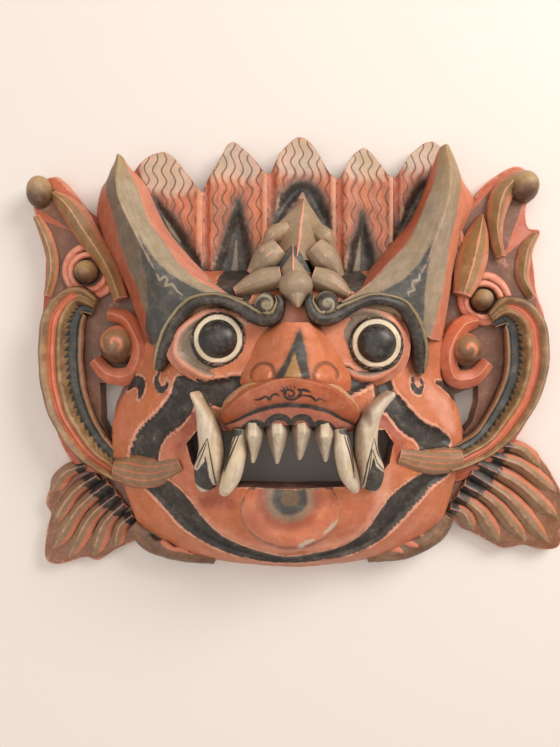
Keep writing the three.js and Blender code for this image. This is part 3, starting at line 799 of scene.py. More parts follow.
RIGHT_CHEEK = patch([
    [27.2, 3.6], [34, 0.2], [41, -0.4], [49, 0.6], [51.3, -4.3], [53, -9.9], [56.6, -13], [61.8, -19.2],
    [69.9, -26], [78.1, -29.6], [83.9, -34.1], [84.8, -38.3], [79, -40.9], [68.5, -40.1], [63.8, -34.9],
    [56.6, -30.4], [49.3, -20.9], [45.8, -18.9], [42.1, -14.3], [42.3, -11.2], [40.8, -5.3],
    [36.4, -7.8], [29.9, -10.8], [28, -9.3], [24.8, -4.3],
])
BEARD = [
    [-86.5, -54, 1.1], [-78, -58, 3.8], [-69.5, -62, 6.7], [-60.5, -69.5, 7.5], [-54, -78, 6.7],
    [-43.5, -87.5, 4.8], [-30.5, -94.5, 3.8], [-16.5, -99, 3], [-1.6, -101.5, 2.4],
    [13.5, -99, 2.7], [30.5, -94.5, 3.5], [42.5, -86.5, 5.1], [51, -76.5, 6.7], [58.5, -67, 7.3],
    [70.5, -58, 5.1], [83.5, -53.5, 1.6],
]
SPOTS = [
    [[-91.5, -9, 0.6], [-88, -5, 2.2], [-84, -4.5, 2.8], [-82.5, -10, 1.7], [-83.5, -13.5, 0.6]],
    [[-72, 0.8, 0.5], [-73.5, -4, 1.1], [-70.5, -8.5, 1.6], [-67, -6.5, 0.8], [-67, -3.5, 0.3]],
    [[64, -2.4, 0.5], [64, -6.5, 1.1], [67, -9.5, 1.6], [69.5, -6, 0.8], [68, -2.9, 0.3]],
    [[79.5, -5, 1.1], [84, -6.5, 2.2], [87.5, -10, 1.7], [89.5, -14.5, 0.6]],
]
SOOT = [[-32.5, 59.5, 5.9], [-31.5, 50, 9.1], [-28.5, 42.5, 7.5]]
SOOT_RIGHT = [[33, 59.5, 4.8], [33, 52, 7], [31.5, 48, 4.8]]
FACE_DARK = either(LEFT_CHEEK, RIGHT_CHEEK, strokes(BEARD, *SPOTS, SOOT, SOOT_RIGHT))
CARVED_BANDS = either(LEFT_CHEEK, RIGHT_CHEEK, stroke(BEARD))
# painted shade in deep orange below the lip, inside the mouth's corners, and beside the eyes
DEEP_ORANGE_SHADE = strokes(
    [
        [-59, -41, 1], [-55.5, -33.5, 4.2], [-50.5, -24, 4.7], [-45.5, -16.5, 3.1],
        [-42, -12, 1.6],
    ],
    [[57, -44, 1.6], [52.5, -34.5, 4.7], [47.5, -26.5, 4.7], [41, -20, 2.1]],
    [[-46, -66, 2.6], [-37, -64, 4.2], [-32, -66, 2.1]],
    [[63.5, 29, 1.6], [63, 20, 3.1], [62, 11, 2.1]],
)
WORN_SKIN = strokes(
    [
        [-50.5, -67, 1.1], [-46.5, -78.5, 2.6], [-34.5, -87, 2.6], [-20, -92.5, 2.1],
        [-1.6, -94.5, 1.6],
    ],
    [[47.5, -51, 2.1], [46, -67, 3.2], [40.5, -80.5, 2.6], [27.5, -89.5, 2.1], [9, -93.5, 1.6]],
    [[-59, -0.8, 1], [-48.5, -1.3, 1.6], [-35.5, -2.3, 1.6], [-27.5, -0.3, 1]],
    [[29.5, 0.8, 1], [41, -0.3, 1.6], [53.5, 0.8, 1.6], [60, 4, 1]],
    [[-3.5, 35, 2.6], [-3, 28, 3.6], [-2.6, 21.5, 2.6]],
    [[72.5, -8, 2.2], [80.5, -17.5, 4.4], [86, -28.5, 3.3]],
)


def face_pattern(paint):
    dark, pale, tone = paint.field("dark"), paint.field("pale"), paint.field("tone")
    ragged = dark + (paint.noise(2.2, 3) - 0.5) * 1.2
    uneven = (paint.noise(6, 3) - 0.5) * 5.0
    base = paint.mix(paint.noise(18, 3).over(0.5, 0.2), ORANGE, OCHRE)
    return paint.layers(
        base,
        # painted shade in deep orange where the tone field marks it
        ((tone + uneven).under(1.0, 3.5) * 0.85, DEEP_ORANGE),
        ((pale + uneven * 0.6).under(0.5, 2.5) * 0.75, SALMON),
        (ragged.under(1.7, 1.3) * 0.35, BROWN),
        (ragged.between(0.3, 1.5, 0.3) * paint.noise(5).over(0.46, 0.06) * 0.8, tint(222, 160, 130)),
        (ragged.under(0.2, 0.25), BLACK),
    )


FACE_PAINT = finish("face paint", face_pattern)


def face():
    rows, columns = 132, 118
    keys = smooth(FACE, rows)
    keys[:, 0] = np.minimum.accumulate(keys[:, 0])
    u = np.linspace(-1, 1, columns)[None, :]
    y, left, right, middle, edge = (keys[:, i : i + 1] for i in range(5))
    x = (left + right) / 2 + (right - left) / 2 * u
    z = edge + (middle - edge) * (1 - np.abs(u) ** 2.4)
    y = np.broadcast_to(y, x.shape)
    band = CARVED_BANDS(x, y)
    z = z - 3.0 * ease(-band, -0.4, 2.6) + 0.9 * ease(-np.abs(band - 1.2), -1.6, 0)
    top = np.stack([x, y, z], axis=-1)
    return relief("face", top, BELOW, FACE_PAINT, dark=FACE_DARK, tone=DEEP_ORANGE_SHADE, pale=WORN_SKIN)


JAW_HAIR = {
    "left": [[-90, -86, 5, 16, 5], [-80, -94, 7, 17, 6], [-64, -100, 6.5, 17, 6], [-44, -105, 4, 14, 5]],
    "right": [[42, -104, 4, 14, 5], [62, -99, 6.5, 17, 6], [79, -90, 7, 17, 6], [87, -80, 5, 16, 5]],
}
CURLS = strokes(
    [[-80, -84, 1.7], [-73.5, -87.5, 1.7], [-75.5, -92, 1.1], [-80, -90, 0.6]],
    [[-71, -87.5, 1.7], [-63, -91, 2.2], [-65.5, -95.5, 1.1], [-70, -93, 0.6]],
    [[-60, -92, 1.7], [-54.5, -96.5, 1.7], [-57.5, -99.5, 0.6]],
    [[82.5, -77.5, 2.8], [75.5, -80, 2.8], [71, -83, 1.7]],
    [[71, -87.5, 1.7], [65.5, -91, 1.7], [62, -87.5, 1.1]],
)
CURL_LIGHTS = strokes(
    [[-75.5, -82.5, 1.1], [-67.5, -86.5, 1.1], [-62, -87.5, 1.1]],
    [[-72, -94, 1.7], [-67.5, -97, 1.7], [-61, -98, 1.7], [-56.5, -100.5, 1.1]],
    [[62.5, -84, 1.1], [68.5, -87, 1.4], [72, -90, 0.6]],
    [[59, -91, 1.1], [64.5, -94.5, 1.7], [69.5, -96.5, 0.6]],
    [[51, -97.5, 1.1], [57.5, -98, 1.7], [61, -100, 0.6]],
)


def hair_pattern(paint):
    across = paint.field("across")
    return paint.layers(
        paint.mix(paint.noise(6, 3).over(0.5, 0.2), tint(104, 70, 50), tint(134, 96, 66)),
        (across.over(0.4, 0.3) * 0.6, tint(84, 54, 42)),
        (paint.field("pale").under(0.2, 0.4), tint(206, 118, 86)),
        (paint.field("dark").under(0.2, 0.4), BLACK),
    )


HAIR_PAINT = finish("jaw hair paint", hair_pattern, wear=0.4, worn=tint(190, 118, 88))


def cut_curls(along, across, points):
    x, y = points[..., 0], points[..., 1]
    points[..., 2] -= 1.6 * ease(-CURLS(x, y), -0.6, 0.8)
    points[..., 2] += 0.7 * ease(-CURL_LIGHTS(x, y), -0.6, 0.8)


def jaw_hair(side):
    keys = JAW_HAIR[side]
    fields = {"dark": CURLS, "pale": CURL_LIGHTS}
    return strip(f"{side} jaw hair", keys, HAIR_PAINT, rows=64, width=21, carve=cut_curls, **fields)


# ---- the crown ----
CROWN = [
    [-99.5, 63.5], [-97, 90], [-93.5, 110], [-88.5, 118.5], [-81, 124.5], [-75.5, 126.5],
    [-72, 126], [-68.5, 123.5], [-60, 113.5], [-51.5, 103], [-50.5, 107], [-43, 120], [-38, 129.5],
    [-35, 132], [-33, 132], [-29.5, 129], [-21.5, 121.5], [-14, 113.5], [-7.5, 125], [-0.3, 132.5],
    [2.3, 134.5], [5, 134.5], [9, 132], [15.5, 123.5], [24.5, 110.5], [32.5, 122.5], [37.5, 127],
    [41.5, 128], [49.5, 120], [57.5, 111.5], [66.5, 124], [74.5, 131.5], [78, 132.5], [81, 132],
    [89, 121.5], [93.5, 90], [96, 63.5], [61, 40.5], [0, 36], [-64, 40.5],
]
LEAF_SIDES = [-92, -51.2, -14, 25, 57.5, 90]  # where one leaf ends and the next starts, along x
FLAMES = strokes(
    [
        [-78, 99, 0.6], [-75, 91.5, 3.4], [-69.5, 83, 4.3], [-63, 73.5, 4.3], [-56, 64.5, 2.9],
        [-49.5, 55, 1.1],
    ],
    [
        [-31.5, 98, 0.6], [-31.5, 89, 3.4], [-32, 79.5, 6.3], [-32.5, 69.5, 8.6],
        [-33.5, 59.5, 10.9], [-33.5, 48, 11.5],
    ],
    [[39.5, 90.5, 0.6], [39.5, 81, 3.4], [39, 71, 6.3], [39, 60.5, 8], [38.5, 51.5, 6.9]],
    [[78.5, 111, 0.9], [74, 105.5, 2.9], [68.5, 95.5, 3.4], [63.5, 85, 3.4], [59, 75, 1.7]],
    [
        [-9, 86, 1.7], [-5.5, 94, 3.4], [0, 102, 4], [5.5, 105.5, 3.7], [11, 101, 4.3],
        [15.5, 92.5, 4], [19.5, 83.5, 1.7],
    ],
)
SPIKES = [
    [[-32.5, 76.5, 0.3], [-33, 65.5, 1.2], [-34, 55, 2.3], [-36.5, 46.5, 4.5]],
    [[38.5, 78, 0.3], [37.5, 66.5, 1.2], [36, 57.5, 2], [34.5, 51, 3.4]],
    [[-74, 89.5, 0.3], [-70, 83, 1.1], [-65, 76, 0.6]],
]
STRAND = 4.9  # spacing of the wavy lines on the crown
WAVE = 13.0  # their wavelength


def leaf_of(x):
    """Which leaf a point is on, and how far across it, from 0 at its left to 1."""
    number = np.clip(np.searchsorted(LEAF_SIDES, x) - 1, 0, len(LEAF_SIDES) - 2)
    left, right = np.take(LEAF_SIDES, number), np.take(LEAF_SIDES, number + 1)
    return number, (x - left) / (right - left)


def crown_height(x, y):
    number, part = leaf_of(x)
    lift = np.take([0, 1.0, 1.8, 1.0, 0], number)
    z = 15.5 + lift - 0.035 * (y - 60)
    z = z + 1.6 * np.abs(part * 2 - 1.2) ** 2 - 2.6 * (1 - ease(part, 0.05, 0.15)) + 1.2 * ease(part, 0.88, 0.92)
    return z - 4.5 * ease(-FLAMES(x, y), -1.0, 5.0)


def crown_tone(x, y):
    """How grey the tips of the leaves are: 1 at the tips and 0 lower down."""
    number, part = leaf_of(x)
    low = np.take([100, 107, 110, 108, 112], number)
    return ease(y - low - 5 * (2 * part - 1) ** 2, -8, 12)


def crown_pattern(paint):
    spot = paint.drawing()
    split = paint.node("SeparateXYZ", spot)
    x, y = Signal(paint, split.outputs[0]), Signal(paint, split.outputs[1])
    drift = (paint.noise(18, 1) - 0.5) * 1.1
    swing = (y * (math.tau / WAVE) + x * 0.06 + drift * 3.0).sine() * 0.27
    strand = ((x / STRAND + swing + drift * 0.35 + 50.5).fraction() - 0.5).abs()
    between = ((x * 2 / STRAND + swing * 2 + drift + 50.25).fraction() - 0.5).abs()
    across, dark, tip = paint.field("across"), paint.field("dark"), paint.field("tone")
    line = strand.under(0.085, 0.05)
    climb = (tip + (strand - 0.25) * 0.9 + (paint.noise(5, 3) - 0.5) * 0.5).over(0.55, 0.3)
    grey = paint.mix(paint.noise(10).over(0.5, 0.2), tint(188, 170, 148), tint(208, 172, 152))
    streaks = paint.noise(3.2, 3, scale=(1, 0.18, 1)).over(0.52, 0.14)
    soot = dark + (paint.noise(4, 3) - 0.5) * 3.4
    spikes = paint.brush(*SPIKES)
    return paint.layers(
        paint.mix(streaks, ORANGE, tint(172, 104, 76)),
        (climb * 0.92, grey),
        (between.under(0.07, 0.05) * tip.under(0.3, 0.3) * soot.under(9.0, 5.0) * 0.55, tint(112, 70, 52)),
        (line * 0.88, tint(88, 60, 48)),
        # painted shadow: darker orange in the groove at each leaf's left side
        (across.under(0.1, 0.03) * 0.85, tint(168, 82, 52)),
        # painted highlight: salmon on the raised right edge of each leaf, below the grey tip
        (across.over(0.91, 0.02) * tip.under(0.7, 0.3), tint(222, 150, 122)),
        (soot.under(3.4, 3.6) * 0.8, tint(92, 66, 52)),
        (soot.under(0.6, 1.7), tint(58, 52, 48)),
        ((spikes + (paint.noise(3) - 0.5) * 0.6).under(0.0, 0.5) * 0.85, tint(146, 130, 110)),
    )


CROWN_PAINT = finish("crown paint", crown_pattern, wear=0.4, worn=tint(214, 166, 140))


def crown():
    fields = {"across": lambda x, y: leaf_of(x)[1], "dark": FLAMES, "tone": crown_tone}
    return panel("crown", CROWN, crown_height, 1.35, CROWN_PAINT, **fields)


# ---- horned brow wings ----
# Rows from the tip to the brow: outer foot, outer edge, crease, inner edge, inner foot.
LEFT_HORN = [
    [[-98, 116, 20], [-97, 118, 31], [-95, 119.5, 34], [-93, 118, 31], [-91.5, 116, 18]],
    [[-109, 106, 14], [-102.5, 102, 31], [-94.5, 101, 40], [-85.5, 103, 34], [-82.5, 105, 15]],
    [[-112, 89, 14], [-97.5, 85.5, 35], [-88.5, 84.5, 46], [-77.5, 83.5, 38], [-73.5, 85, 16]],
    [[-106, 72, 16], [-91.5, 65.5, 39], [-80, 69, 51], [-66.5, 67, 43], [-62, 70, 18]],
    [[-95.5, 53, 20], [-84.5, 49, 42], [-71.5, 53.5, 55], [-53.5, 51.5, 49], [-48.5, 56, 22]],
    [[-88, 34, 24], [-77, 30, 45], [-62, 40, 57], [-36.5, 42, 55], [-32, 47, 26]],
    [[-82, 18, 26], [-73, 14, 44], [-50, 36, 58], [-25.5, 37.5, 60], [-22, 42, 30]],
]
RIGHT_HORN = [
    [[89, 118, 20], [86, 123, 31], [83.5, 125, 34], [80.5, 123.5, 31], [79, 118, 18]],
    [[98, 108, 14], [91.5, 107.5, 32], [84, 107, 40], [77.5, 108, 34], [76.5, 110, 15]],
    [[103, 97, 14], [89, 88.5, 36], [81, 88.5, 46], [69.5, 87, 38], [68, 89, 16]],
    [[96, 80, 16], [84, 70, 40], [74, 69.5, 51], [62, 72, 43], [57, 75, 18]],
    [[90, 57, 20], [81, 53.5, 43], [66.5, 52.5, 55], [49, 56.5, 49], [44.5, 60, 22]],
    [[86, 36, 24], [77, 35, 46], [57.5, 39.5, 57], [35.5, 43.5, 55], [33.5, 47, 26]],
    [[82, 18, 26], [72.5, 18, 45], [46.5, 35.5, 58], [24, 36, 60], [23, 41, 30]],
]
HORN_DARK = either(
    patch([
        [-80.5, 72], [-78.5, 60], [-76.5, 48], [-75.5, 36], [-80, 24], [-76, 8], [-66, 14], [-55, 30],
        [-38, 35], [-30, 37.5], [-48, 42.7], [-60.7, 49.6], [-71, 58],
    ], rounded=False),
    patch([
        [74.5, 72], [70.5, 60], [68.4, 47], [67.9, 32.4], [68, 20], [60, 30], [48, 36], [36, 39],
        [46.6, 42.3], [57.7, 48.7], [65.5, 57],
    ], rounded=False),
)
SQUIGGLES = [
    [
        [-70, 51, 0.4], [-68.5, 48, 0.7], [-66, 50, 0.6], [-64.5, 48.5, 0.5], [-65.5, 45, 0.7],
        [-62, 46, 0.6], [-59.5, 42.5, 0.6], [-56.5, 40, 0.3],
    ],
    [
        [65, 51, 0.4], [65, 48, 0.7], [61.5, 47.5, 0.6], [61, 45, 0.6], [62.5, 43, 0.6],
        [59, 41.5, 0.6], [59.5, 39.5, 0.3],
    ],
]


def horn_finish(name, outer_facet, inner_facet, outer_wall, inner_wall):
    def pattern(paint):
        across, dark, along = paint.field("across"), paint.field("dark"), paint.field("along")
        grain = paint.node("CombineXYZ", across * 7.0, along * 3.0)
        streak = paint.node("TexNoise", Signal(paint, grain.outputs[0]))
        streak.inputs["Scale"].default_value = 2.4
        streak.inputs["Detail"].default_value = 4
        streaks = Signal(paint, streak.outputs["Fac"]).over(0.5, 0.16)
        # painted light and shade: each horn's facets and walls take lit and shaded colours, lighter where they face
        # right and up
        facets = paint.mix((across + (paint.noise(8) - 0.5) * 0.1).over(0.0, 0.05), outer_facet, inner_facet)
        return paint.layers(
            facets,
            (streaks * 0.35, tint(122, 108, 88)),
            (along.under(0.1, 0.07) * 0.7, GOLD),
            (across.under(-0.5, 0.03), outer_wall),
            (across.over(0.5, 0.03), inner_wall),
            (dark.under(0.6, 1.6) * 0.4, tint(96, 88, 78)),
            ((dark + (paint.noise(3) - 0.5) * 1.0).under(0.0, 0.5), tint(74, 72, 68)),
            (paint.brush(*SQUIGGLES).under(0.0, 0.35) * 0.85, tint(156, 140, 116)),
        )

    return finish(name, pattern, wear=0.4, worn=tint(200, 160, 130))


# These colours hold painted light and shade: on the left horn the left facet and outer wall are darker and the right
# ones lighter; on the right horn the outer wall, which faces right, is lighter than the inner wall.
LEFT_HORN_PAINT = horn_finish("left horn paint", tint(112, 92, 74), tint(164, 144, 116), tint(178, 92, 64), tint(222, 144, 118))
RIGHT_HORN_PAINT = horn_finish("right horn paint", tint(158, 136, 110), tint(160, 138, 112), tint(214, 132, 104), tint(196, 104, 74))


def horn(name, rows, finish_paint):
    """Five rails, skinned lengthwise with flat facets between them."""
    rails = smooth(rows, 84)
    u = np.linspace(0, 4, 41)
    low = np.minimum(u.astype(int), 3)
    part = (u - low)[None, :, None]
    points = rails[:, low] * (1 - part) + rails[:, low + 1] * part
    facet = (low > 0) & (low < 3)
    points[..., 2] += 0.9 * np.sin(np.pi * part[..., 0]) * facet[None, :]
    return relief(name, points, FOOT, finish_paint, across=np.linspace(-1, 1, 41)[None, :], dark=HORN_DARK)


# ---- brow bands ----
LEFT_BROW = [
    [-72, 1.5, 2.2, 42, 3], [-69.5, 8, 4.2, 46, 3.4], [-66.5, 16, 4.4, 50, 3.4], [-61.5, 26, 4.0, 53, 3.4],
    [-52, 35.5, 3.6, 57, 3.2], [-39, 38, 3.0, 60, 3], [-27, 34, 3.4, 62, 3], [-17.5, 28.5, 4.2, 64, 3],
    [-9.5, 28.5, 3.6, 65.5, 3], [-6.6, 35, 2.6, 66, 2.6], [-8, 39, 1.2, 66, 2],
]
RIGHT_BROW = [
    [68, 0, 2.2, 42, 3], [67.2, 8, 4.2, 46, 3.4], [66, 16, 4.4, 50, 3.4], [62.6, 26, 4.0, 53, 3.4],
    [55, 35, 3.6, 57, 3.2], [42, 38, 3.0, 60, 3], [30, 34.5, 3.4, 62, 3], [20, 29, 4.2, 64, 3],
    [12.5, 28.5, 3.8, 65.5, 3], [8.6, 35, 2.8, 66, 2.6], [9.6, 40, 1.2, 66, 2],
]
BROW_SECTION = [[-1, 0], [-0.8, 0.7], [-0.3, 1], [0.2, 0.9], [0.45, 0.6], [0.6, 0.95], [0.8, 0.9], [1, 0]]


def brow_pattern(paint):
    across = paint.field("across") + (paint.noise(4) - 0.5) * 0.25
    return paint.layers(
        paint.mix(paint.noise(12).over(0.5, 0.2), BLACK, tint(58, 50, 45)),
        (across.over(0.76, 0.06), tint(104, 92, 76)),
        (across.between(0.44, 0.74, 0.07) * 0.9, tint(166, 148, 112)),
    )


def curl_finish(name, turning):
    def pattern(paint):
        radius, bearing = paint.polar()
        turn = (radius / 4.6 - bearing * turning + 0.62).fraction()
        return paint.layers(
            tint(58, 50, 46),
            # painted highlight: a tan spot at the top of the curl
            (radius.under(2.2, 0.8) * 0.8, tint(140, 124, 92)),
            (turn.between(0.2, 0.52, 0.1) * radius.under(6.4, 0.4), tint(150, 138, 116)),
        )

    return finish(name, pattern, wear=0.3, worn=TAUPE)


BROW_PAINT = finish("brow paint", brow_pattern, wear=0.3, worn=TAUPE)
LEFT_CURL_PAINT = curl_finish("left curl paint", 1.0)
RIGHT_CURL_PAINT = curl_finish("right curl paint", -1.0)


def brows():
    level = 30
    side = np.linspace(-1, 1, 19)[None, :]
    mirrored = [[-u, v] for u, v in reversed(BROW_SECTION)]
    return [
        strip("left brow", LEFT_BROW, BROW_PAINT, BROW_SECTION, rows=84, width=19, level=level, across=side),
        strip("right brow", RIGHT_BROW, BROW_PAINT, mirrored, rows=84, width=19, level=level, across=-side),
        dome("left brow curl", -13.6, 34.6, 62, 6.2, 6.4, 7, LEFT_CURL_PAINT, level=level, rings=12),
        dome("right brow curl", 16.8, 34.8, 62, 6.4, 6.6, 7, RIGHT_CURL_PAINT, level=level, rings=12),
    ]


# ---- eyes ----
EYES = {
    "left": {"pupil": (-38.2, 17.6), "lid": [
        [-60, 13.6], [-57.5, 21], [-51.3, 27.1], [-43.9, 30.6], [-36.5, 31], [-29.2, 28.6], [-22.8, 24.2],
        [-17.6, 17.2], [-19.2, 10.5], [-23.6, 3.6], [-31.6, -0.6], [-39, -2], [-46.3, -0.6], [-53.7, 3.8],
        [-58.6, 8.5],
    ]},
    "right": {"pupil": (42.6, 15.4), "lid": [
        [18.6, 18.3], [20.8, 25], [26.7, 30.1], [35, 32.4], [42.4, 32], [49.6, 28], [54.4, 21.3],
        [55.4, 13.4], [52.6, 5.5], [44.4, -0.6], [36, -1.6], [27.7, 2], [21.8, 9.4],
    ]},
}
PUPIL = 9.6
RING = 12.4


def eye_finish(side):
    x, y = EYES[side]["pupil"]

    def pattern(paint):
        spot = paint.place((1, 1, 0), (-NOSE_BRIDGE[0] - x, -NOSE_BRIDGE[1] - y, 0))
        split = paint.node("SeparateXYZ", spot)
        right, up = Signal(paint, split.outputs[0]), Signal(paint, split.outputs[1])
        radius = paint.vector("LENGTH", spot) + (paint.noise(5) - 0.5) * 0.35
        lid = paint.field("dark") + (paint.noise(3) - 0.5) * 0.8
        # painted light and shade on the white of the eye: darker left of the pupil, lighter to the right and up
        white = paint.mix((right + up * 0.4).over(0, 12), tint(150, 130, 110), tint(200, 180, 152))
        low = up.under(-4, 9)
        return paint.layers(
            paint.mix(paint.noise(12).over(0.5, 0.2), tint(206, 130, 102), tint(190, 108, 80)),
            (lid.under(2.4, 1.6) * 0.8, tint(222, 152, 128)),
            (lid.under(-0.4, 0.5), white),
            (lid.between(-3.2, -0.8, 1.2) * 0.4, tint(150, 110, 92)),
            ((radius - low * 1.6).under(17, 3.2) * lid.under(-1, 1) * 0.6, tint(104, 90, 80)),
            ((radius - low * 1.0).under(RING + 1.5, 0.35), BLACK),
            (radius.under(RING, 0.2), tint(218, 200, 172)),
            (radius.under(PUPIL + 0.35, 0.2), tint(40, 36, 34)),
        )

    return finish(f"{side} eye paint", pattern, wear=0.3, worn=tint(214, 176, 150), gloss=0.08, bump=0.3)


EYE_PAINT = {side: eye_finish(side) for side in EYES}


def eye(side):
    x0, y0 = EYES[side]["pupil"]
    lid = patch(EYES[side]["lid"])
    outline = np.array(EYES[side]["lid"], float)
    middle = outline.mean(axis=0)
    outline = middle + (outline - middle) * 1.3

    def height(x, y):
        inside = lid(x, y)
        away = np.hypot(x - x0, y - y0)
        roll = 53.6 + 2.3 * np.sqrt(np.clip(1 - (inside / 2.7) ** 2, 0, 1))
        outside = 53.6 - 0.75 * np.clip(inside - 1.8, 0, 99)
        ball = 51.0 + 7.0 * (1 - np.exp(inside / 5.5))
        z = np.where(inside < 0, np.maximum(ball, np.where(inside > -2.7, roll, 0)), np.maximum(roll * (inside < 2.7), outside))
        z = np.where(away < RING + 1.4, np.maximum(z, 57.6), z)
        z = np.where(away < RING, 58.8, z)
        cap = 58.2 + 5.8 * np.sqrt(np.clip(1 - (away / PUPIL) ** 2, 0, 1)) ** 0.9
        return np.where(away < PUPIL, cap, z)

    return panel(f"{side}_eye", outline, height, 0.85, EYE_PAINT[side], level=30, dark=lid)


# ---- nose ----
NOSE = [
    [[-9, 26, 58], [-5, 25.5, 66], [1.5, 25, 69], [8, 25.5, 66], [12, 26, 58]],
    [[-17.5, 18, 58], [-9, 17.5, 69], [1.5, 17, 75], [12, 17.5, 69], [18, 18, 58]],
    [[-22.5, 7, 58], [-12, 6.5, 73], [1, 6.5, 82], [14, 6.5, 73], [24.5, 7, 58]],
    [[-27, -2, 58], [-17, -1, 75], [0, -1, 88], [18, -1, 75], [29.5, -2, 58]],
    [[-27, -9, 56], [-17, -8, 72], [0, -7, 84], [18, -8, 72], [29.5, -9, 56]],
]
NOSE_V = [
    [-8.5, -2.1], [-5, 3.5], [-1.4, 11], [1.9, 19], [3.5, 21.5], [5, 17], [6.5, 9.5], [8, -2.1],
    [4, -2.1], [2.9, 2.6], [0.7, 11.5], [-1.2, 6], [-4.5, -2.1],
]
NOSE_GOLD = [[0.7, 11.5], [2.9, 2.6], [4, -2.6], [-4.5, -2.6], [-1.3, 5.5]]
NOSTRILS = {"left": (-14.8, -0.8), "right": (16.2, -0.8)}


def nose_pattern(paint):
    dark, light = paint.field("dark"), paint.field("light")
    ragged = dark + (paint.noise(2.4, 3) - 0.5) * 1.4
    groove_shade = paint.field("tone")
    return paint.layers(
        paint.mix(paint.noise(12, 3).over(0.5, 0.2), OCHRE, tint(212, 122, 86)),
        (ragged.under(1.3, 1.2) * 0.5, tint(112, 72, 52)),
        (light.under(0.0, 0.5), tint(166, 126, 80)),
        (ragged.under(0.1, 0.5), tint(58, 54, 52)),
        # painted shade in the carved groove over each nostril
        (groove_shade.under(0.3, 0.5) * 0.75, tint(120, 72, 50)),
    )


NOSE_PAINT = finish("nose paint", nose_pattern)


def nostril_groove(x, y):
    """Signed distance from the groove over each nostril."""
    grooves = [
        np.abs(np.hypot(x - nx, y - ny) - 6.0) - 0.7 + 3 * ease(ny - 1 - y, 0, 5) for nx, ny in NOSTRILS.values()
    ]
    return np.minimum.reduce(grooves)


def nose():
    rails = smooth(NOSE, 48)
    points = np.swapaxes(smooth(np.swapaxes(rails, 0, 1), 53), 0, 1)
    x, y = points[..., 0], points[..., 1]
    points[..., 2] -= 1.5 * ease(-nostril_groove(x, y), -0.8, 0.6)
    for nx, ny in NOSTRILS.values():
        away = np.hypot(x - nx, y - ny)
        points[..., 2] += 1.4 * np.sqrt(np.clip(1 - (away / 5.2) ** 2, 0, 1))
    fields = {"dark": patch(NOSE_V, rounded=False), "light": patch(NOSE_GOLD, rounded=False)}
    return relief("nose", points, 35, NOSE_PAINT, tone=nostril_groove, **fields)


# ---- upper lip and gum ----
LIP = [
    [[-37, -20, 58], [-35.5, -22, 69], [-34, -25.5, 67], [-33, -29.5, 62]],
    [[-33, -12, 63], [-31, -16, 79], [-27, -22.5, 75], [-26, -28.5, 70]],
    [[-21, -4, 68], [-19.5, -7.5, 86], [-17, -18, 81], [-17, -26.5, 75]],
    [[-1.5, 0.5, 72], [-1.5, -2.5, 90], [-1.5, -15, 85], [-1.5, -25, 77]],
    [[18, -3.5, 68], [17, -6.8, 86], [14.5, -17.5, 81], [14.5, -26.5, 75]],
    [[29.5, -11.5, 63], [27.5, -14.5, 79], [24, -22, 75], [23, -28.5, 70]],
    [[34.5, -19, 58], [32.5, -21.5, 71], [30.5, -25.5, 67], [29.5, -29.5, 62]],
]
ORNAMENT = [
    [
        [-2.4, -9.5, 0.3], [-1.4, -11, 0.5], [0, -10.5, 0.5], [0.5, -9, 0.5], [-0.9, -8, 0.5],
        [-3, -8, 0.5], [-4, -10, 0.6], [-2.8, -12, 0.6], [0, -12.5, 0.5], [2.6, -11, 0.8],
        [3.5, -8.5, 0.8], [2.1, -7.5, 0.4],
    ],
    [
        [-19, -12.5, 0.1], [-17, -12.5, 0.4], [-15, -12, 0.5], [-12.5, -11, 0.5],
        [-11, -12.5, 0.6], [-9.5, -10.5, 0.5], [-7.5, -10, 0.5], [-6, -11.5, 0.2],
    ],
    [
        [4, -10.5, 0.2], [6, -10.5, 0.5], [8.5, -11, 0.5], [11, -13, 0.6], [12.5, -12, 0.4],
        [15.5, -13.5, 0.2],
    ],
    [[4, -7.5, 0.4], [6, -8, 0.7], [8.5, -9, 0.2]],
    [[-6.5, -8, 0.2], [-4.5, -8.5, 0.5]],
    [[-5.5, -6, 0.2], [-4, -7.5, 0.4]],
    [[-3.5, -5.5, 0.2], [-2.8, -7, 0.4]],
    [[-1.4, -5.5, 0.2], [-1.3, -6.5, 0.4]],
    [[0.7, -6, 0.2], [0.5, -7, 0.4]],
]
SCALLOPS = [
    [-25, -31.5, 1.3], [-23.5, -26.5, 1.5], [-19.5, -24, 1.6], [-16, -24, 1.5], [-13.5, -26, 1.3],
    [-11.5, -23, 1.5], [-8, -21, 1.6], [-3.5, -21.5, 1.5], [-1.2, -24, 1.3], [1.5, -21.5, 1.5],
    [5, -21, 1.6], [8, -22.5, 1.5], [10, -25.5, 1.3], [12.5, -24, 1.5], [16, -24.5, 1.6],
    [19.5, -27, 1.5], [22, -31.5, 1.3],
]


def lip_pattern(paint):
    across = paint.field("across")
    chips = (paint.noise(3.2, 4, roughness=0.7) - 0.5) * 0.5
    worn_rim = paint.mix(paint.noise(2.5, 3).over(0.52, 0.1), tint(222, 158, 124), tint(196, 168, 124))
    return paint.layers(
        paint.mix(paint.noise(9, 3).over(0.5, 0.2), LIP_RED, tint(182, 96, 60)),
        ((across + chips * 0.3).under(-0.42, 0.12) * 0.35, tint(200, 120, 80)),
        (paint.field("light").under(0.05, 0.2), tint(48, 30, 26)),
        ((across + chips).under(-0.68, 0.05), worn_rim),
        # painted shadow: a dark band and a near-black line under the lip, where it meets the gum
        (across.between(0.22, 0.62, 0.2) * 0.4, tint(96, 52, 42)),
        (across.between(0.27, 0.41, 0.04), tint(44, 38, 36)),
        (across.over(0.42, 0.04), GUM),
        (paint.field("dark").under(0.0, 0.25), tint(52, 48, 46)),
    )


LIP_PAINT = finish("lip paint", lip_pattern, wear=0.2)


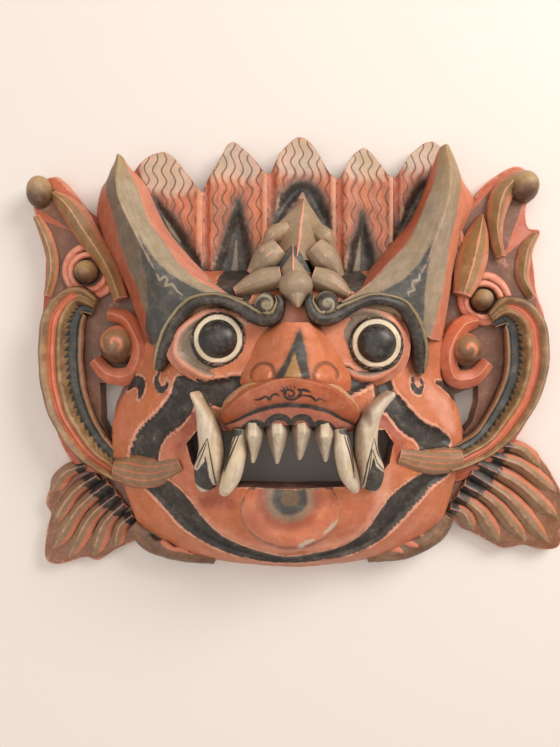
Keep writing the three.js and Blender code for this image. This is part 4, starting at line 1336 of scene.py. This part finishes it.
def lip():
    rails = smooth(LIP, 130)
    u = np.linspace(0, 3, 58)
    low = np.minimum(u.astype(int), 2)
    part = (u - low)[None, :, None]
    points = rails[:, low] * (1 - part) + rails[:, low + 1] * part
    points[..., 2] += 0.9 * np.sin(np.pi * part[..., 0]) * (low > 0)
    fields = {"dark": stroke(SCALLOPS), "light": strokes(*ORNAMENT)}
    return relief("upper lip", points, 36, LIP_PAINT, across=(u / 3 * 2 - 1)[None, :], **fields)


# ---- teeth ----
# Each front tooth is [left, right, top, tip x, tip y].
FRONT_TEETH = [
    [-24.6, -13.9, -24, -20, -44.5],
    [-13.9, -1.1, -21.5, -8, -45],
    [-1.1, 10.1, -21.5, 3, -43],
    [10, 21, -24.5, 16.3, -44],
]
TOOTH_BACK, TOOTH_FRONT = 62, 72


def bone_pattern(paint):
    dark, pale, tone = paint.field("dark"), paint.field("pale"), paint.field("tone")
    grain = paint.noise(1.8, 3, scale=(1, 0.2, 1)).over(0.5, 0.25)
    lines = paint.brush(*TUSK_LINES)
    return paint.layers(
        paint.mix(grain, tint(196, 174, 150), tint(216, 198, 174)),
        # painted shade: brown on the tusks' shaded sides and towards the sides of each front tooth
        ((tone + (paint.noise(5, 3) - 0.5) * 3).under(0.5, 1.6) * 0.75, tint(126, 96, 76)),
        ((dark + (paint.noise(2) - 0.5) * 0.6).under(0.0, 0.3), tint(56, 52, 49)),
        (pale.under(0.0, 0.35), tint(220, 202, 178)),
        (lines.under(0.0, 0.15), tint(58, 50, 44)),
    )


TUSK_LINES = [
    [[-41.5, -31.5, 0.2], [-45.5, -38.5, 0.4], [-49, -45, 0.4]],
    [[-42, -34, 0.2], [-44.5, -40, 0.3], [-47.5, -46.5, 0.3]],
    [[-41.5, -31.5, 0.2], [-40, -41.5, 0.4], [-38.5, -55, 0.4]],
    [[-28, -30.5, 0.3], [-31.5, -39, 0.4], [-33.5, -47.5, 0.3]],
    [[-26.5, -30.5, 0.3], [-30, -39, 0.4], [-33.5, -47.5, 0.3]],
    [[39, -33, 0.2], [36.5, -44, 0.4], [35, -56, 0.4]],
    [[38.5, -37, 0.2], [37.5, -47.5, 0.3], [36.5, -56, 0.3]],
    [[39.5, -31.5, 0.2], [41.5, -39, 0.4], [46.5, -47, 0.4]],
    [[39, -37.5, 0.2], [41.5, -44, 0.3], [45.5, -48.5, 0.3]],
    [[25, -30.5, 0.3], [28, -40, 0.4], [30, -50.5, 0.3]],
    [[26.5, -31, 0.3], [29, -40, 0.4], [30, -50.5, 0.2]],
]
TUSK_DARK = either(
    patch([
        [-49.5, -47.5], [-47.5, -48.5], [-43.5, -43.5], [-43, -39.5], [-42, -44.5], [-41.5, -51.5],
        [-40, -56], [-39, -56], [-38, -59.5], [-43, -59], [-49, -56], [-52, -50],
    ], rounded=False),
    patch([
        [39.5, -39.5], [41, -45.5], [45, -49.5], [47.5, -49], [49, -53], [42, -59.5], [36, -59.5],
        [37.5, -50],
    ],
          rounded=False),
    strokes(
        [[-30.5, -31, 1], [-28.5, -28.5, 2.5], [-26.5, -28.5, 2]],
        [[-30.5, -30.5, 1.5], [-31.5, -36, 1], [-32, -43.5, 0.3]],
        [[24.5, -28, 2], [27, -28, 2.5], [28.5, -30.5, 1.2], [29, -37.5, 0.3]],
    ),
)
TUSK_SHADE = strokes(
    [[-37.5, -17, 1.5], [-35, -25, 2.5], [-33.5, -35, 2.5], [-35, -47.5, 1]],
    [[31, -25, 2], [31.5, -35, 2.5], [32, -47.5, 2], [33, -55, 1]],
    [[33, -17, 2], [36, -20.5, 2], [37, -24, 1]],
)
BONE_PAINT = finish("bone paint", bone_pattern, wear=0.2, worn=CREAM, bump=0.35)


def tooth(number, shape):
    left, right, top, tip_x, tip_y = shape
    wide = right - left
    belly = top + (tip_y - top) * 0.3

    def row(y, inset, lift):
        return [
            [left + inset, y, TOOTH_FRONT - 2],
            [left + wide * 0.3, y, TOOTH_FRONT + lift],
            [left + wide * 0.64, y, TOOTH_FRONT + lift + 0.5],
            [right - inset, y, TOOTH_FRONT - 2],
        ]

    point = [[tip_x + dx, tip_y, 69 - abs(dx)] for dx in (-0.8, -0.3, 0.3, 0.8)]
    rails = np.array([row(top + 3, 2.4, 2), row(top + 1, 0.8, 4.5), row(belly, 0.1, 7.5), point], float)
    v = np.concatenate([np.linspace(0, 2, 12)[:-1], np.linspace(2, 3, 13)])
    low = np.minimum(v.astype(int), 2)
    part = (v - low)[:, None, None]
    rows = rails[low] * (1 - part) + rails[low + 1] * part
    u = np.linspace(0, 3, 19)
    low = np.minimum(u.astype(int), 2)
    part = (u - low)[None, :, None]
    points = rows[:, low] * (1 - part) + rows[:, low + 1] * part
    # painted shade towards the sides of each tooth, lightest a little right of its middle
    side_shade = lambda x, y: 3.5 - np.abs(x - (left + right) / 2 - 1.2) + 0 * y
    return relief(f"tooth {number}", points, TOOTH_BACK, BONE_PAINT, tone=lambda x, y: side_shade(x, y) + ease(-y, -top - 6, 4) * 2)


LEFT_CANINE = [
    [-26, -27, 3.5, 70, 4], [-27.5, -40, 4.4, 71, 5], [-30, -50, 4.8, 71, 5], [-33.4, -57, 3.6, 70, 4],
    [-35, -60, 1.6, 69, 2],
]
RIGHT_CANINE = [
    [23, -27, 3.5, 70, 4], [25, -40, 4.4, 71, 5], [27.5, -49.5, 4.5, 71, 5], [30, -55.5, 3.2, 70, 4],
    [31, -58.5, 1.4, 69, 2],
]
LEFT_TUSK = [
    [-49.4, -9.2, 0.5, 75, 1], [-48.8, -10.6, 1.4, 75, 2], [-45.5, -16.5, 2.2, 75, 3], [-42, -26, 4.8, 73, 4],
    [-40.5, -38, 6.2, 70, 5], [-42, -48, 7.4, 66, 5], [-43, -56, 6.4, 61, 4], [-42, -59, 3, 58, 3],
]
RIGHT_TUSK = [
    [49.6, -9.6, 0.6, 75, 1], [48.4, -10.6, 1.6, 75, 2], [41.5, -17, 3, 75, 3], [37, -26, 5, 73, 4],
    [36, -38, 6, 70, 5], [38, -48, 7.2, 66, 5], [38.6, -56, 6, 61, 4], [37.5, -59, 3, 58, 3],
]


def teeth():
    made = [tooth(i + 1, shape) for i, shape in enumerate(FRONT_TEETH)]
    fields = {"dark": TUSK_DARK, "tone": TUSK_SHADE}
    made.append(strip("left canine", LEFT_CANINE, BONE_PAINT, rows=40, width=15, level=48, **fields))
    made.append(strip("right canine", RIGHT_CANINE, BONE_PAINT, rows=40, width=15, level=48, **fields))
    made.append(strip("left tusk", LEFT_TUSK, BONE_PAINT, rows=52, width=21, level=38, **fields))
    made.append(strip("right tusk", RIGHT_TUSK, BONE_PAINT, rows=52, width=21, level=38, **fields))
    return made


# ---- chin ----
CHIN = (-1.5, -62)
CHIN_CHIPS = strokes(
    [[-31.5, -68, 1.5], [-29, -75.5, 2], [-25, -81.5, 1.5]],
    [[3.5, -88, 1], [7, -86, 1.5], [10.5, -85, 0.5]],
    [[16.5, -81, 1], [22, -77.5, 2], [26.5, -74.5, 1]],
)
# a groove round the chin that is not carved, drawn as a darker line: painted shade
CHIN_GROOVE = strokes(
    [
        [-31, -65, 0.5], [-28, -74.5, 1], [-22, -82, 1], [-10.5, -87.5, 1], [1.5, -89, 1],
        [14.5, -85.5, 0.8], [26, -79, 0.5],
    ],
)


def chin_pattern(paint):
    radius, _ = paint.polar()
    radius = radius + (paint.noise(5, 3) - 0.5) * 2.4
    chips = paint.field("pale") + (paint.noise(3, 4, roughness=0.7) - 0.5) * 4.0
    return paint.layers(
        paint.mix(paint.noise(14, 3).over(0.5, 0.2), ORANGE, tint(216, 128, 94)),
        (radius.under(16.5, 2.6) * 0.75, tint(148, 80, 60)),
        (radius.under(12.2, 1.5), tint(142, 112, 92)),
        (radius.under(8.6, 1.2), tint(64, 60, 58)),
        (radius.under(4.4, 0.8), tint(106, 80, 52)),
        # painted shade along the uncarved groove
        (paint.field("dark").under(0.2, 0.5) * 0.7, tint(128, 66, 46)),
        (chips.under(0.0, 0.4), tint(204, 182, 158)),
    )


CHIN_PAINT = finish("chin paint", chin_pattern)


def chin():
    x, y = CHIN
    fields = {"pale": CHIN_CHIPS, "dark": CHIN_GROOVE}
    return dome("chin boss", x, y, 48, 29, 31, 19, CHIN_PAINT, level=20, sides=84, rings=24, **fields)


# ---- crest ----
CREST_TOP = [
    [[4.5, 94, 32], [6, 95.5, 34], [7.5, 94, 32]],
    [[-9.5, 79.5, 35], [4.5, 81, 45], [16.5, 79.5, 35]],
    [[-8, 72, 38], [3.5, 70, 51], [15, 72, 38]],
    [[-9, 60, 44], [1.5, 58, 56], [13, 60, 44]],
]
CREST_MIDDLE = [
    [[-2, 66, 50], [0, 67, 53], [2, 66, 50]],
    [[-9, 52, 52], [0, 54, 61], [9.5, 52, 52]],
    [[-8, 44, 56], [1, 44, 66], [10, 44, 56]],
]
CREST_TONGUES = [
    [[-2, 78, 4, 38, 4], [-10, 74, 5.5, 38, 6], [-15, 67, 2, 36, 5]],
    [[10, 78, 4, 38, 4], [17, 73, 5.5, 38, 6], [21, 66, 2, 36, 5]],
    [[-7, 66, 6, 48, 5], [-14, 60, 7.5, 46, 8], [-22.5, 52.5, 3, 42, 6]],
    [[11, 66, 6, 48, 5], [18, 59.5, 7.5, 46, 8], [25, 50.5, 3, 42, 6]],
    [[-6, 50, 5.5, 54, 5], [-17, 47.5, 6.5, 51, 8], [-30, 42.5, 3, 50, 6]],
    [[10, 50, 5.5, 54, 5], [20, 46.5, 6.5, 51, 8], [29, 40.5, 3, 50, 6]],
]
CREST_TIP = [[1.5, 44, 6.5, 62, 7], [2, 38.5, 5, 64, 6], [2.5, 33, 1, 66, 3]]
CREST_DARK = patch([[0, 68], [10.5, 53], [7.5, 52], [-0.5, 61.5], [-7.5, 52], [-10.5, 53.5], [-6, 62]], rounded=False)


def skin(name, rows, level, finish_paint, count=40, width=25, **fields):
    """A form given as a few rows of three points: edge, ridge and edge."""
    rows = smooth(rows, count)
    u = np.linspace(0, 2, width)
    low = np.minimum(u.astype(int), 1)
    part = (u - low)[None, :, None]
    points = rows[:, low] * (1 - part) + rows[:, low + 1] * part
    return relief(name, points, level, finish_paint, **fields)


def crest():
    far = {"dark": 9.0, "light": 9.0}
    made = [
        skin("crest leaf", CREST_TOP, FOOT, CREST_PAINT, dark=CREST_DARK, light=9.0),
        skin("crest diamond", CREST_MIDDLE, 20, CREST_PAINT, dark=CREST_DARK, light=9.0),
        dome("crest boss", 1.5, 44, 62, 8.5, 8, 9, CREST_PAINT, level=30, **far),
        strip("crest tip", CREST_TIP, CREST_PAINT, rows=24, level=40, **far),
    ]
    for i, keys in enumerate(CREST_TONGUES):
        made.append(strip(f"crest tongue {i + 1}", keys, CREST_PAINT, rows=26, level=8, **far))
    return made


# ---- ears ----
LEFT_EAR = [
    [-136, 113], [-129, 107], [-121, 97], [-113, 90], [-92, 70], [-84, 30], [-84, -10], [-90, -60],
    [-112, -58], [-126, -52], [-134, -38], [-141, -17], [-144.5, 2], [-145, 22], [-143, 46],
    [-142, 66], [-143, 76], [-146, 86], [-149, 96], [-148, 108],
]
RIGHT_EAR = [
    [103, 100], [117, 114], [130, 119], [138, 110], [134, 96], [135, 84], [142, 82], [138, 72],
    [138, 61], [140.5, 45], [144.5, 33], [146, 16], [144, -5], [138, -20], [127, -39], [112, -52],
    [90, -60], [84, -10], [84, 30], [88, 70],
]
LEFT_EAR_HOLE = [[-110.5, -5], [-97, -7], [-101, -16], [-104.5, -36], [-109.5, -27]]
RIGHT_EAR_HOLE = [[92, -12], [106, -7], [106, -16], [103, -27], [98, -33.5], [95, -24]]
LEFT_LOOP = [
    [-112, 38, 5, 17, 5], [-121, 41, 9, 18, 7], [-129, 31, 12, 18, 8], [-131, 14, 12.5, 18, 8],
    [-130, -4, 12.5, 18, 8], [-125, -22, 12, 19, 8], [-114, -39, 10, 21, 8], [-100, -50, 8, 25, 8],
    [-88, -54, 7, 30, 8],
]
RIGHT_LOOP = [
    [112, 30, 5, 17, 5], [121, 35, 9, 18, 7], [130, 27, 12, 18, 8], [132, 10, 12.5, 18, 8],
    [129.5, -6, 12, 18, 8], [122, -21, 11, 19, 8], [110, -36, 9, 21, 8], [96, -44, 7.5, 26, 8],
    [84, -47, 7, 32, 8],
]
LEFT_TIE = [[-98, -52, 5, 29, 6], [-88, -53, 8.5, 34, 6], [-74, -52.5, 8, 42, 5], [-58, -47, 4, 52, 4]]
RIGHT_TIE = [[92, -46, 5, 30, 6], [82, -47, 7, 36, 6], [69, -46.5, 6.5, 44, 5], [55, -43, 4, 52, 4]]
LEFT_SCROLL_WALL = [
    [-104, 34, 4, 16, 6], [-92, 29, 5, 22, 6], [-85, 14, 5, 26, 4], [-90, 0, 5, 22, 4],
    [-103, -1, 5, 18, 4], [-112, 8, 4, 18, 4],
]
RIGHT_SCROLL_WALL = [
    [104, 30, 4, 16, 6], [94, 26, 5, 22, 6], [86, 12, 5, 26, 4], [90, -2, 5, 22, 4],
    [102, -2, 5, 18, 4], [110, 6, 4, 18, 4],
]
EAR_LEAVES = [
    [
        [-137, 103, 2, 14, 2], [-126, 93, 6.5, 16, 5], [-115, 77, 6.5, 17, 6], [-103, 58, 5, 18, 5],
        [-97, 42, 4, 20, 4],
    ],
    [[107, 90, 1, 17, 3], [104, 77, 7, 18, 6], [100, 60, 8.5, 19, 6], [95, 44, 5, 21, 4]],
    [[129, 113, 3, 15, 4], [119, 102, 6, 16, 5], [115, 84, 4.5, 16, 5], [118, 66, 2.5, 16, 4]],
    [[-147, 90, 2, 13, 3], [-140, 76, 3.5, 14, 4], [-137, 60, 3.5, 14, 4], [-140, 44, 2.5, 14, 4]],
    [[139, 80, 2, 13, 3], [133, 70, 4, 14, 4], [131, 56, 4, 14, 4], [136, 44, 2.5, 14, 4]],
]
LOOP_SECTION = [
    [-1, 0], [-0.92, 0.6], [-0.72, 1], [-0.52, 0.8], [-0.44, 0.5], [-0.32, 0.72], [-0.16, 0.6],
    [-0.02, 0.93], [0.12, 0.88], [0.26, 0.5], [0.36, 0.16], [0.7, 0.12], [0.8, 0.34], [0.92, 0.4], [1, 0.2],
]


def notch(along, across, points):
    """Saw teeth carved along the inner roll of a loop."""
    saw = (along * 34) % 1
    points[..., 2] -= 1.2 * saw * (1 - ease(np.abs(across - 0.26), 0.05, 0.16))


def scroll(name, x, y, ball, turn):
    return [
        dome(f"{name} ball", x, y, 16, ball, ball, 10, BALL_PAINT, sides=36),
        rim(f"{name} inner roll", oval(x + 1, y, 16, ball + 3.4, ball + 3.4), 2, ROLL_PAINT),
        rim(f"{name} outer roll", oval(x + 2, y + 1, 14.5, turn, turn), 2.6, ROLL_PAINT),
    ]


def ears():
    made = [
        board("left ear", LEFT_EAR, BOARD, EAR_PAINT, dark=9.0, light=9.0),
        board("right ear", RIGHT_EAR, BOARD, EAR_PAINT, dark=9.0, light=9.0),
        strip("left loop", LEFT_LOOP, LOOP_PAINT, LOOP_SECTION, rows=170, width=45, carve=notch),
        strip("left scroll wall", LEFT_SCROLL_WALL, ROLL_PAINT, RIDGE),
        strip("right scroll wall", RIGHT_SCROLL_WALL, ROLL_PAINT, RIDGE),
        dome("left boss", -98, 16.5, 18, 11, 11, 16, BOSS_PAINT),
        dome("right boss", 96, 13.5, 18, 9.8, 9.8, 16, BOSS_PAINT),
        dome("left knob", -144.5, 103.5, 14, 7.2, 9.2, 9, BALL_PAINT, level=1),
        dome("right knob", 131.5, 106.5, 14, 8.6, 9.4, 10, BALL_PAINT, level=1),
    ]
    mirrored = [[-k[0], *k[1:]] for k in RIGHT_LOOP]
    points = strip_points(mirrored, LOOP_SECTION, 170, 45)
    notch(np.linspace(0, 1, 170)[:, None], np.linspace(-1, 1, 45)[None, :], points)
    points[..., 0] *= -1
    made.append(relief("right loop", points, FOOT, LOOP_PAINT))
    made += scroll("left scroll", -117, 57.5, 6.6, 14)
    made += scroll("right scroll", 107, 41.5, 6.4, 13)
    made += [strip(f"ear leaf {i + 1}", keys, LEAF_PAINT, RIDGE) for i, keys in enumerate(EAR_LEAVES)]
    return made


def ties():
    return [
        strip("left tie", LEFT_TIE, TIE_PAINT, rows=40, width=21),
        strip("right tie", RIGHT_TIE, TIE_PAINT, rows=40, width=21),
    ]


# ---- fins ----
LEFT_FIN = [
    [-122, -50], [-132, -56], [-139, -63], [-143, -75], [-140, -81], [-142.5, -92], [-143, -107],
    [-135, -110], [-120, -106], [-113, -108], [-103, -102], [-88, -94], [-84, -80], [-100, -55],
]
RIGHT_FIN = [
    [92, -50], [118, -42], [127, -38], [136, -43], [144, -50], [150, -59], [156, -70], [158, -78], [156, -90],
    [153, -100.5], [142, -101.5], [133, -99], [122, -101], [113, -97], [100, -90], [90, -83], [80, -84],
]
# Each flute runs from its root to its tip: [root x, root y, tip x, tip y, half width].
LEFT_FLUTES = [
    [-120, -54, -139, -68, 4.5], [-114, -61, -138, -86, 4.5], [-108, -66, -138, -101, 5],
    [-103, -72, -129, -106, 5], [-98, -77, -115, -105, 5], [-92, -83, -102, -100, 4.5],
]
RIGHT_FLUTES = [
    [120, -42, 143, -54, 4.5], [115, -48, 152, -68, 4.5], [110, -54, 153, -84, 5], [106, -60, 147, -97, 5],
    [101, -66, 134, -96, 5], [96, -72, 119, -97, 5], [91, -78, 104, -90, 4.5],
]
FIN_BOW = 3.5


def flute(name, shape):
    rx, ry, tx, ty, half = shape
    length = math.hypot(tx - rx, ty - ry)
    side = -1 if tx < 0 else 1

    def at(t, bow):
        return [rx + (tx - rx) * t + (ry - ty) / length * bow, ry + (ty - ry) * t + (tx - rx) / length * bow]

    keys = [
        [*at(-0.1, 0), half * 0.7, 11, 4],
        [*at(0.35, side * FIN_BOW), half * 1.05, 9, 6],
        [*at(0.75, side * FIN_BOW * 0.4), half * 1.25, 8, 5],
        [*at(1, 0), half * 0.6, 7, 3],
    ]
    section = [[-1, 0], [-0.6, 0.5], [-0.1, 1], [0.3, 0.8], [0.7, 0.5], [1, 0]]
    return strip(name, keys, FIN_PAINT, section, rows=36, width=15)


def fins():
    made = [
        board("left fin", LEFT_FIN, 9.5, FIN_BOARD_PAINT, slope=1.2),
        board("right fin", RIGHT_FIN, 9.5, FIN_BOARD_PAINT, slope=1.2),
    ]
    made += [flute(f"left flute {i + 1}", shape) for i, shape in enumerate(LEFT_FLUTES)]
    made += [flute(f"right flute {i + 1}", shape) for i, shape in enumerate(RIGHT_FLUTES)]
    return made


# ---- openings and the hollow back ----
MOUTH = [
    [-52, -46], [-45, -54.5], [-30, -57.5], [28, -57.5], [42, -54.5], [50, -46], [52, -36], [47, -29],
    [-49, -29], [-55, -36],
]


def hollow():
    return dome("hollow", -1, -26, 0, 70, 62, 46, RAW_WOOD, level=-5, sides=72, rings=14, fullness=2.4)


# ---- carving: join the forms, cut the openings ----
def carving_tree(stages):
    """A Geometry Nodes tree that joins forms and cuts others away, stage by stage."""
    tree = bpy.data.node_groups.new("carving", "GeometryNodeTree")
    tree.interface.new_socket("Geometry", in_out="INPUT", socket_type="NodeSocketGeometry")
    tree.interface.new_socket("Geometry", in_out="OUTPUT", socket_type="NodeSocketGeometry")
    carved = None
    for operation, forms in stages:
        step = tree.nodes.new("GeometryNodeMeshBoolean")
        step.operation, step.solver = operation, "MANIFOLD"
        first, rest = step.inputs[0], step.inputs[1]
        if operation == "DIFFERENCE":
            tree.links.new(carved, first)
        elif carved is not None:
            tree.links.new(carved, rest)
        for made in reversed(forms):
            info = tree.nodes.new("GeometryNodeObjectInfo")
            info.inputs["Object"].default_value = made
            tree.links.new(info.outputs["Geometry"], rest)
        carved = step.outputs["Mesh"]
    leave = tree.nodes.new("NodeGroupOutput")
    tree.links.new(carved, leave.inputs[0])
    return tree


def carve(name, stages):
    """The finished carving as one plain mesh."""
    worker = bpy.data.objects.new("worker", bpy.data.meshes.new("worker"))
    bpy.context.scene.collection.objects.link(worker)
    worker.modifiers.new("carving", "NODES").node_group = carving_tree(stages)
    evaluated = worker.evaluated_get(bpy.context.evaluated_depsgraph_get())
    mesh = bpy.data.meshes.new_from_object(evaluated)
    mesh.name = name
    bpy.data.objects.remove(worker)
    for _, forms in stages:
        for made in forms:
            bpy.data.objects.remove(made)
    whole = bpy.data.objects.new(name, mesh)
    bpy.context.scene.collection.objects.link(whole)
    return whole


# ---- the knife's marks, wear and shade on the finished mesh ----
SEED = 7
RIPPLES = ((16.0, 0.22), (7.0, 0.09))  # wavelength and height of the unevenness left by the knife
REACH = 9.0  # how far off another surface still shades a point
RAYS = 10


class Net:
    """The points of a mesh and the edges between them."""

    def __init__(self, mesh):
        self.mesh = mesh
        self.count = len(mesh.vertices)
        pairs = np.zeros(2 * len(mesh.edges), np.int32)
        mesh.edges.foreach_get("vertices", pairs)
        self.a, self.b = pairs.reshape(-1, 2).T
        number = np.bincount(self.a, minlength=self.count) + np.bincount(self.b, minlength=self.count)
        self.number = np.maximum(number, 1)

    def around(self, values):
        """The mean of each point's neighbours."""
        if values.ndim == 2:
            return np.stack([self.around(column) for column in values.T], axis=1)
        total = np.bincount(self.a, values[self.b], self.count) + np.bincount(self.b, values[self.a], self.count)
        return total / self.number

    def normals(self):
        normals = np.zeros(3 * self.count, np.float32)
        self.mesh.vertices.foreach_get("normal", normals)
        return normals.reshape(-1, 3).astype(float)

    def bend(self):
        """How sharply the surface bends at each point, over 0 on edges and under 0 in creases."""
        places, normals = places_of(self.mesh), self.normals()
        way = places[self.b] - places[self.a]
        length = np.linalg.norm(way, axis=1) + 1e-6
        at_a = -np.einsum("ij,ij->i", way, normals[self.a]) / length
        at_b = np.einsum("ij,ij->i", way, normals[self.b]) / length
        bend = (np.bincount(self.a, at_a, self.count) + np.bincount(self.b, at_b, self.count)) / self.number
        return 0.5 * bend + 0.5 * self.around(bend)

    def move(self, places):
        places = np.clip(places, LOW, HIGH)
        self.mesh.vertices.foreach_set("co", (places * MM).astype(np.float32).ravel())
        self.mesh.update()


def soften(net):
    """Rubs down sharp edges and seams a little."""
    for _ in range(2):
        places = places_of(net.mesh)
        weight = 0.5 * ease(np.abs(net.bend()), 0.12, 0.45) * ease(places[:, 2], 1, 4)
        net.move(places + weight[:, None] * (net.around(places) - places))


def ripple(net):
    """The knife's slight unevenness, which fades out towards the flat back."""
    draw = np.random.default_rng(SEED)
    places = places_of(net.mesh)
    shift = np.zeros_like(places)
    for length, height in RIPPLES:
        for _ in range(7):
            way = draw.normal(size=3)
            way *= math.tau / length / np.linalg.norm(way)
            lean = draw.normal(size=3)
            shift += height * lean / 2.6 * np.sin(places @ way + draw.uniform(0, math.tau))[:, None]
    net.move(places + shift * ease(places[:, 2:3], 1, 6))


def shading(net):
    """How much nearby surfaces shut in each point, from 0 in the open to 1."""
    mesh, places, normals = net.mesh, places_of(net.mesh), net.normals()
    tree = BVHTree.FromPolygons([Vector(p) for p in places], [tuple(f.vertices) for f in mesh.polygons])
    turn = np.arange(RAYS) * 2.4
    rise = np.sqrt((np.arange(RAYS) + 0.5) / RAYS)
    side = np.cross(normals, np.where(np.abs(normals[:, 2:3]) < 0.9, [[0.0, 0.0, 1.0]], [[1.0, 0.0, 0.0]]))
    side /= np.linalg.norm(side, axis=1, keepdims=True) + 1e-9
    third = np.cross(normals, side)
    shut = np.zeros(net.count)
    starts = [Vector(p) for p in places + normals * 0.25]
    for t, r in zip(turn, rise):
        flat = math.sqrt(1 - r * r)
        ways = normals * r + side * flat * math.cos(t) + third * flat * math.sin(t)
        for i, (start, way) in enumerate(zip(starts, ways)):
            away = tree.ray_cast(start, Vector(way), REACH)[3]
            if away is not None:
                shut[i] += 1 - away / REACH
    shut = shut / RAYS
    return 0.6 * shut + 0.4 * net.around(shut)


def write_field(mesh, name, values):
    mesh.attributes.new(name, "FLOAT", "POINT").data.foreach_set("value", values.astype(np.float32))


def build_mask():
    head = [face(), jaw_hair("left"), jaw_hair("right"), *ties(), eye("left"), eye("right"), nose(), lip(), chin()]
    wings = [horn("left horn", LEFT_HORN, LEFT_HORN_PAINT), horn("right horn", RIGHT_HORN, RIGHT_HORN_PAINT)]
    outside = [crown(), *wings, *brows(), *crest(), *ears(), *fins()]
    mouth = prism("mouth", MOUTH, -5, 100, MOUTH_PAINT)
    holes = [
        prism("left ear hole", LEFT_EAR_HOLE, -5, 60, EAR_PAINT),
        prism("right ear hole", RIGHT_EAR_HOLE, -5, 60, EAR_PAINT),
    ]
    back = prism("planed back", [[-200, -200], [200, -200], [200, 200], [-200, 200]], -20, 0, RAW_WOOD)
    stages = [
        ("UNION", head),
        ("DIFFERENCE", [mouth, hollow()]),
        ("UNION", outside),
        ("DIFFERENCE", [*holes, hollow(), back]),
        ("UNION", teeth()),
    ]
    whole = carve("carved_mask", stages)
    mesh = whole.data
    mesh.shade_smooth()
    net = Net(mesh)
    soften(net)
    ripple(net)
    mesh.set_sharp_from_angle(angle=math.radians(48))
    write_field(mesh, "edge", ease(net.bend(), 0.02, 0.3))
    # how shut in each point is, from which the finishes paint shade in creases and hollows
    write_field(mesh, "hollow", shading(net))
    return whole


mask = build_mask()
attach(mask, "root")
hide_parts(NODE)


# ---- table, light and camera ----
def table():
    mesh = bpy.data.meshes.new("table")
    half = 1.2
    mesh.from_pydata([(-half, -half, 0), (half, -half, 0), (half, half, 0), (-half, half, 0)], [], [(0, 1, 2, 3)])
    made = bpy.data.objects.new("table", mesh)
    bpy.context.scene.collection.objects.link(made)
    material = bpy.data.materials.new("pale table")
    material.use_nodes = True
    shader = material.node_tree.nodes["Principled BSDF"]
    shader.inputs["Base Color"].default_value = tint(224, 214, 206)
    shader.inputs["Roughness"].default_value = 0.9
    mesh.materials.append(material)


def light(name, place, target, size, power, colour):
    lamp = bpy.data.lights.new(name, "AREA")
    lamp.size = size
    lamp.energy = power
    lamp.color = colour
    made = bpy.data.objects.new(name, lamp)
    made.location = place
    made.rotation_mode = "QUATERNION"
    made.rotation_quaternion = (Vector(target) - Vector(place)).to_track_quat("-Z", "Y")
    bpy.context.scene.collection.objects.link(made)


def camera():
    lens = bpy.data.cameras.new("camera")
    lens.sensor_width = 36
    lens.lens = 34.7
    lens.shift_x = -0.0174
    lens.clip_start = 0.01
    made = bpy.data.objects.new("camera", lens)
    made.location = (NOSE_BRIDGE[0] * MM, NOSE_BRIDGE[1] * MM, 0.425)
    bpy.context.scene.collection.objects.link(made)
    bpy.context.scene.camera = made


table()
light("window", (0.75, 0.6, 0.75), (0, 0, 0), 0.6, 12, (1.0, 0.96, 0.91))
light("ceiling", (-0.1, 0.1, 1.1), (0, 0, 0), 1.0, 4.6, (1.0, 0.97, 0.94))
light("room", (-0.8, -0.4, 0.9), (0, 0, 0), 1.2, 3, (1.0, 0.94, 0.88))
camera()
world = bpy.data.worlds.new("room light")
world.use_nodes = True
world.node_tree.nodes["Background"].inputs["Color"].default_value = (1.0, 0.97, 0.94, 1.0)
world.node_tree.nodes["Background"].inputs["Strength"].default_value = 0.45
bpy.context.scene.world = world
bpy.context.scene.view_settings.view_transform = "Standard"
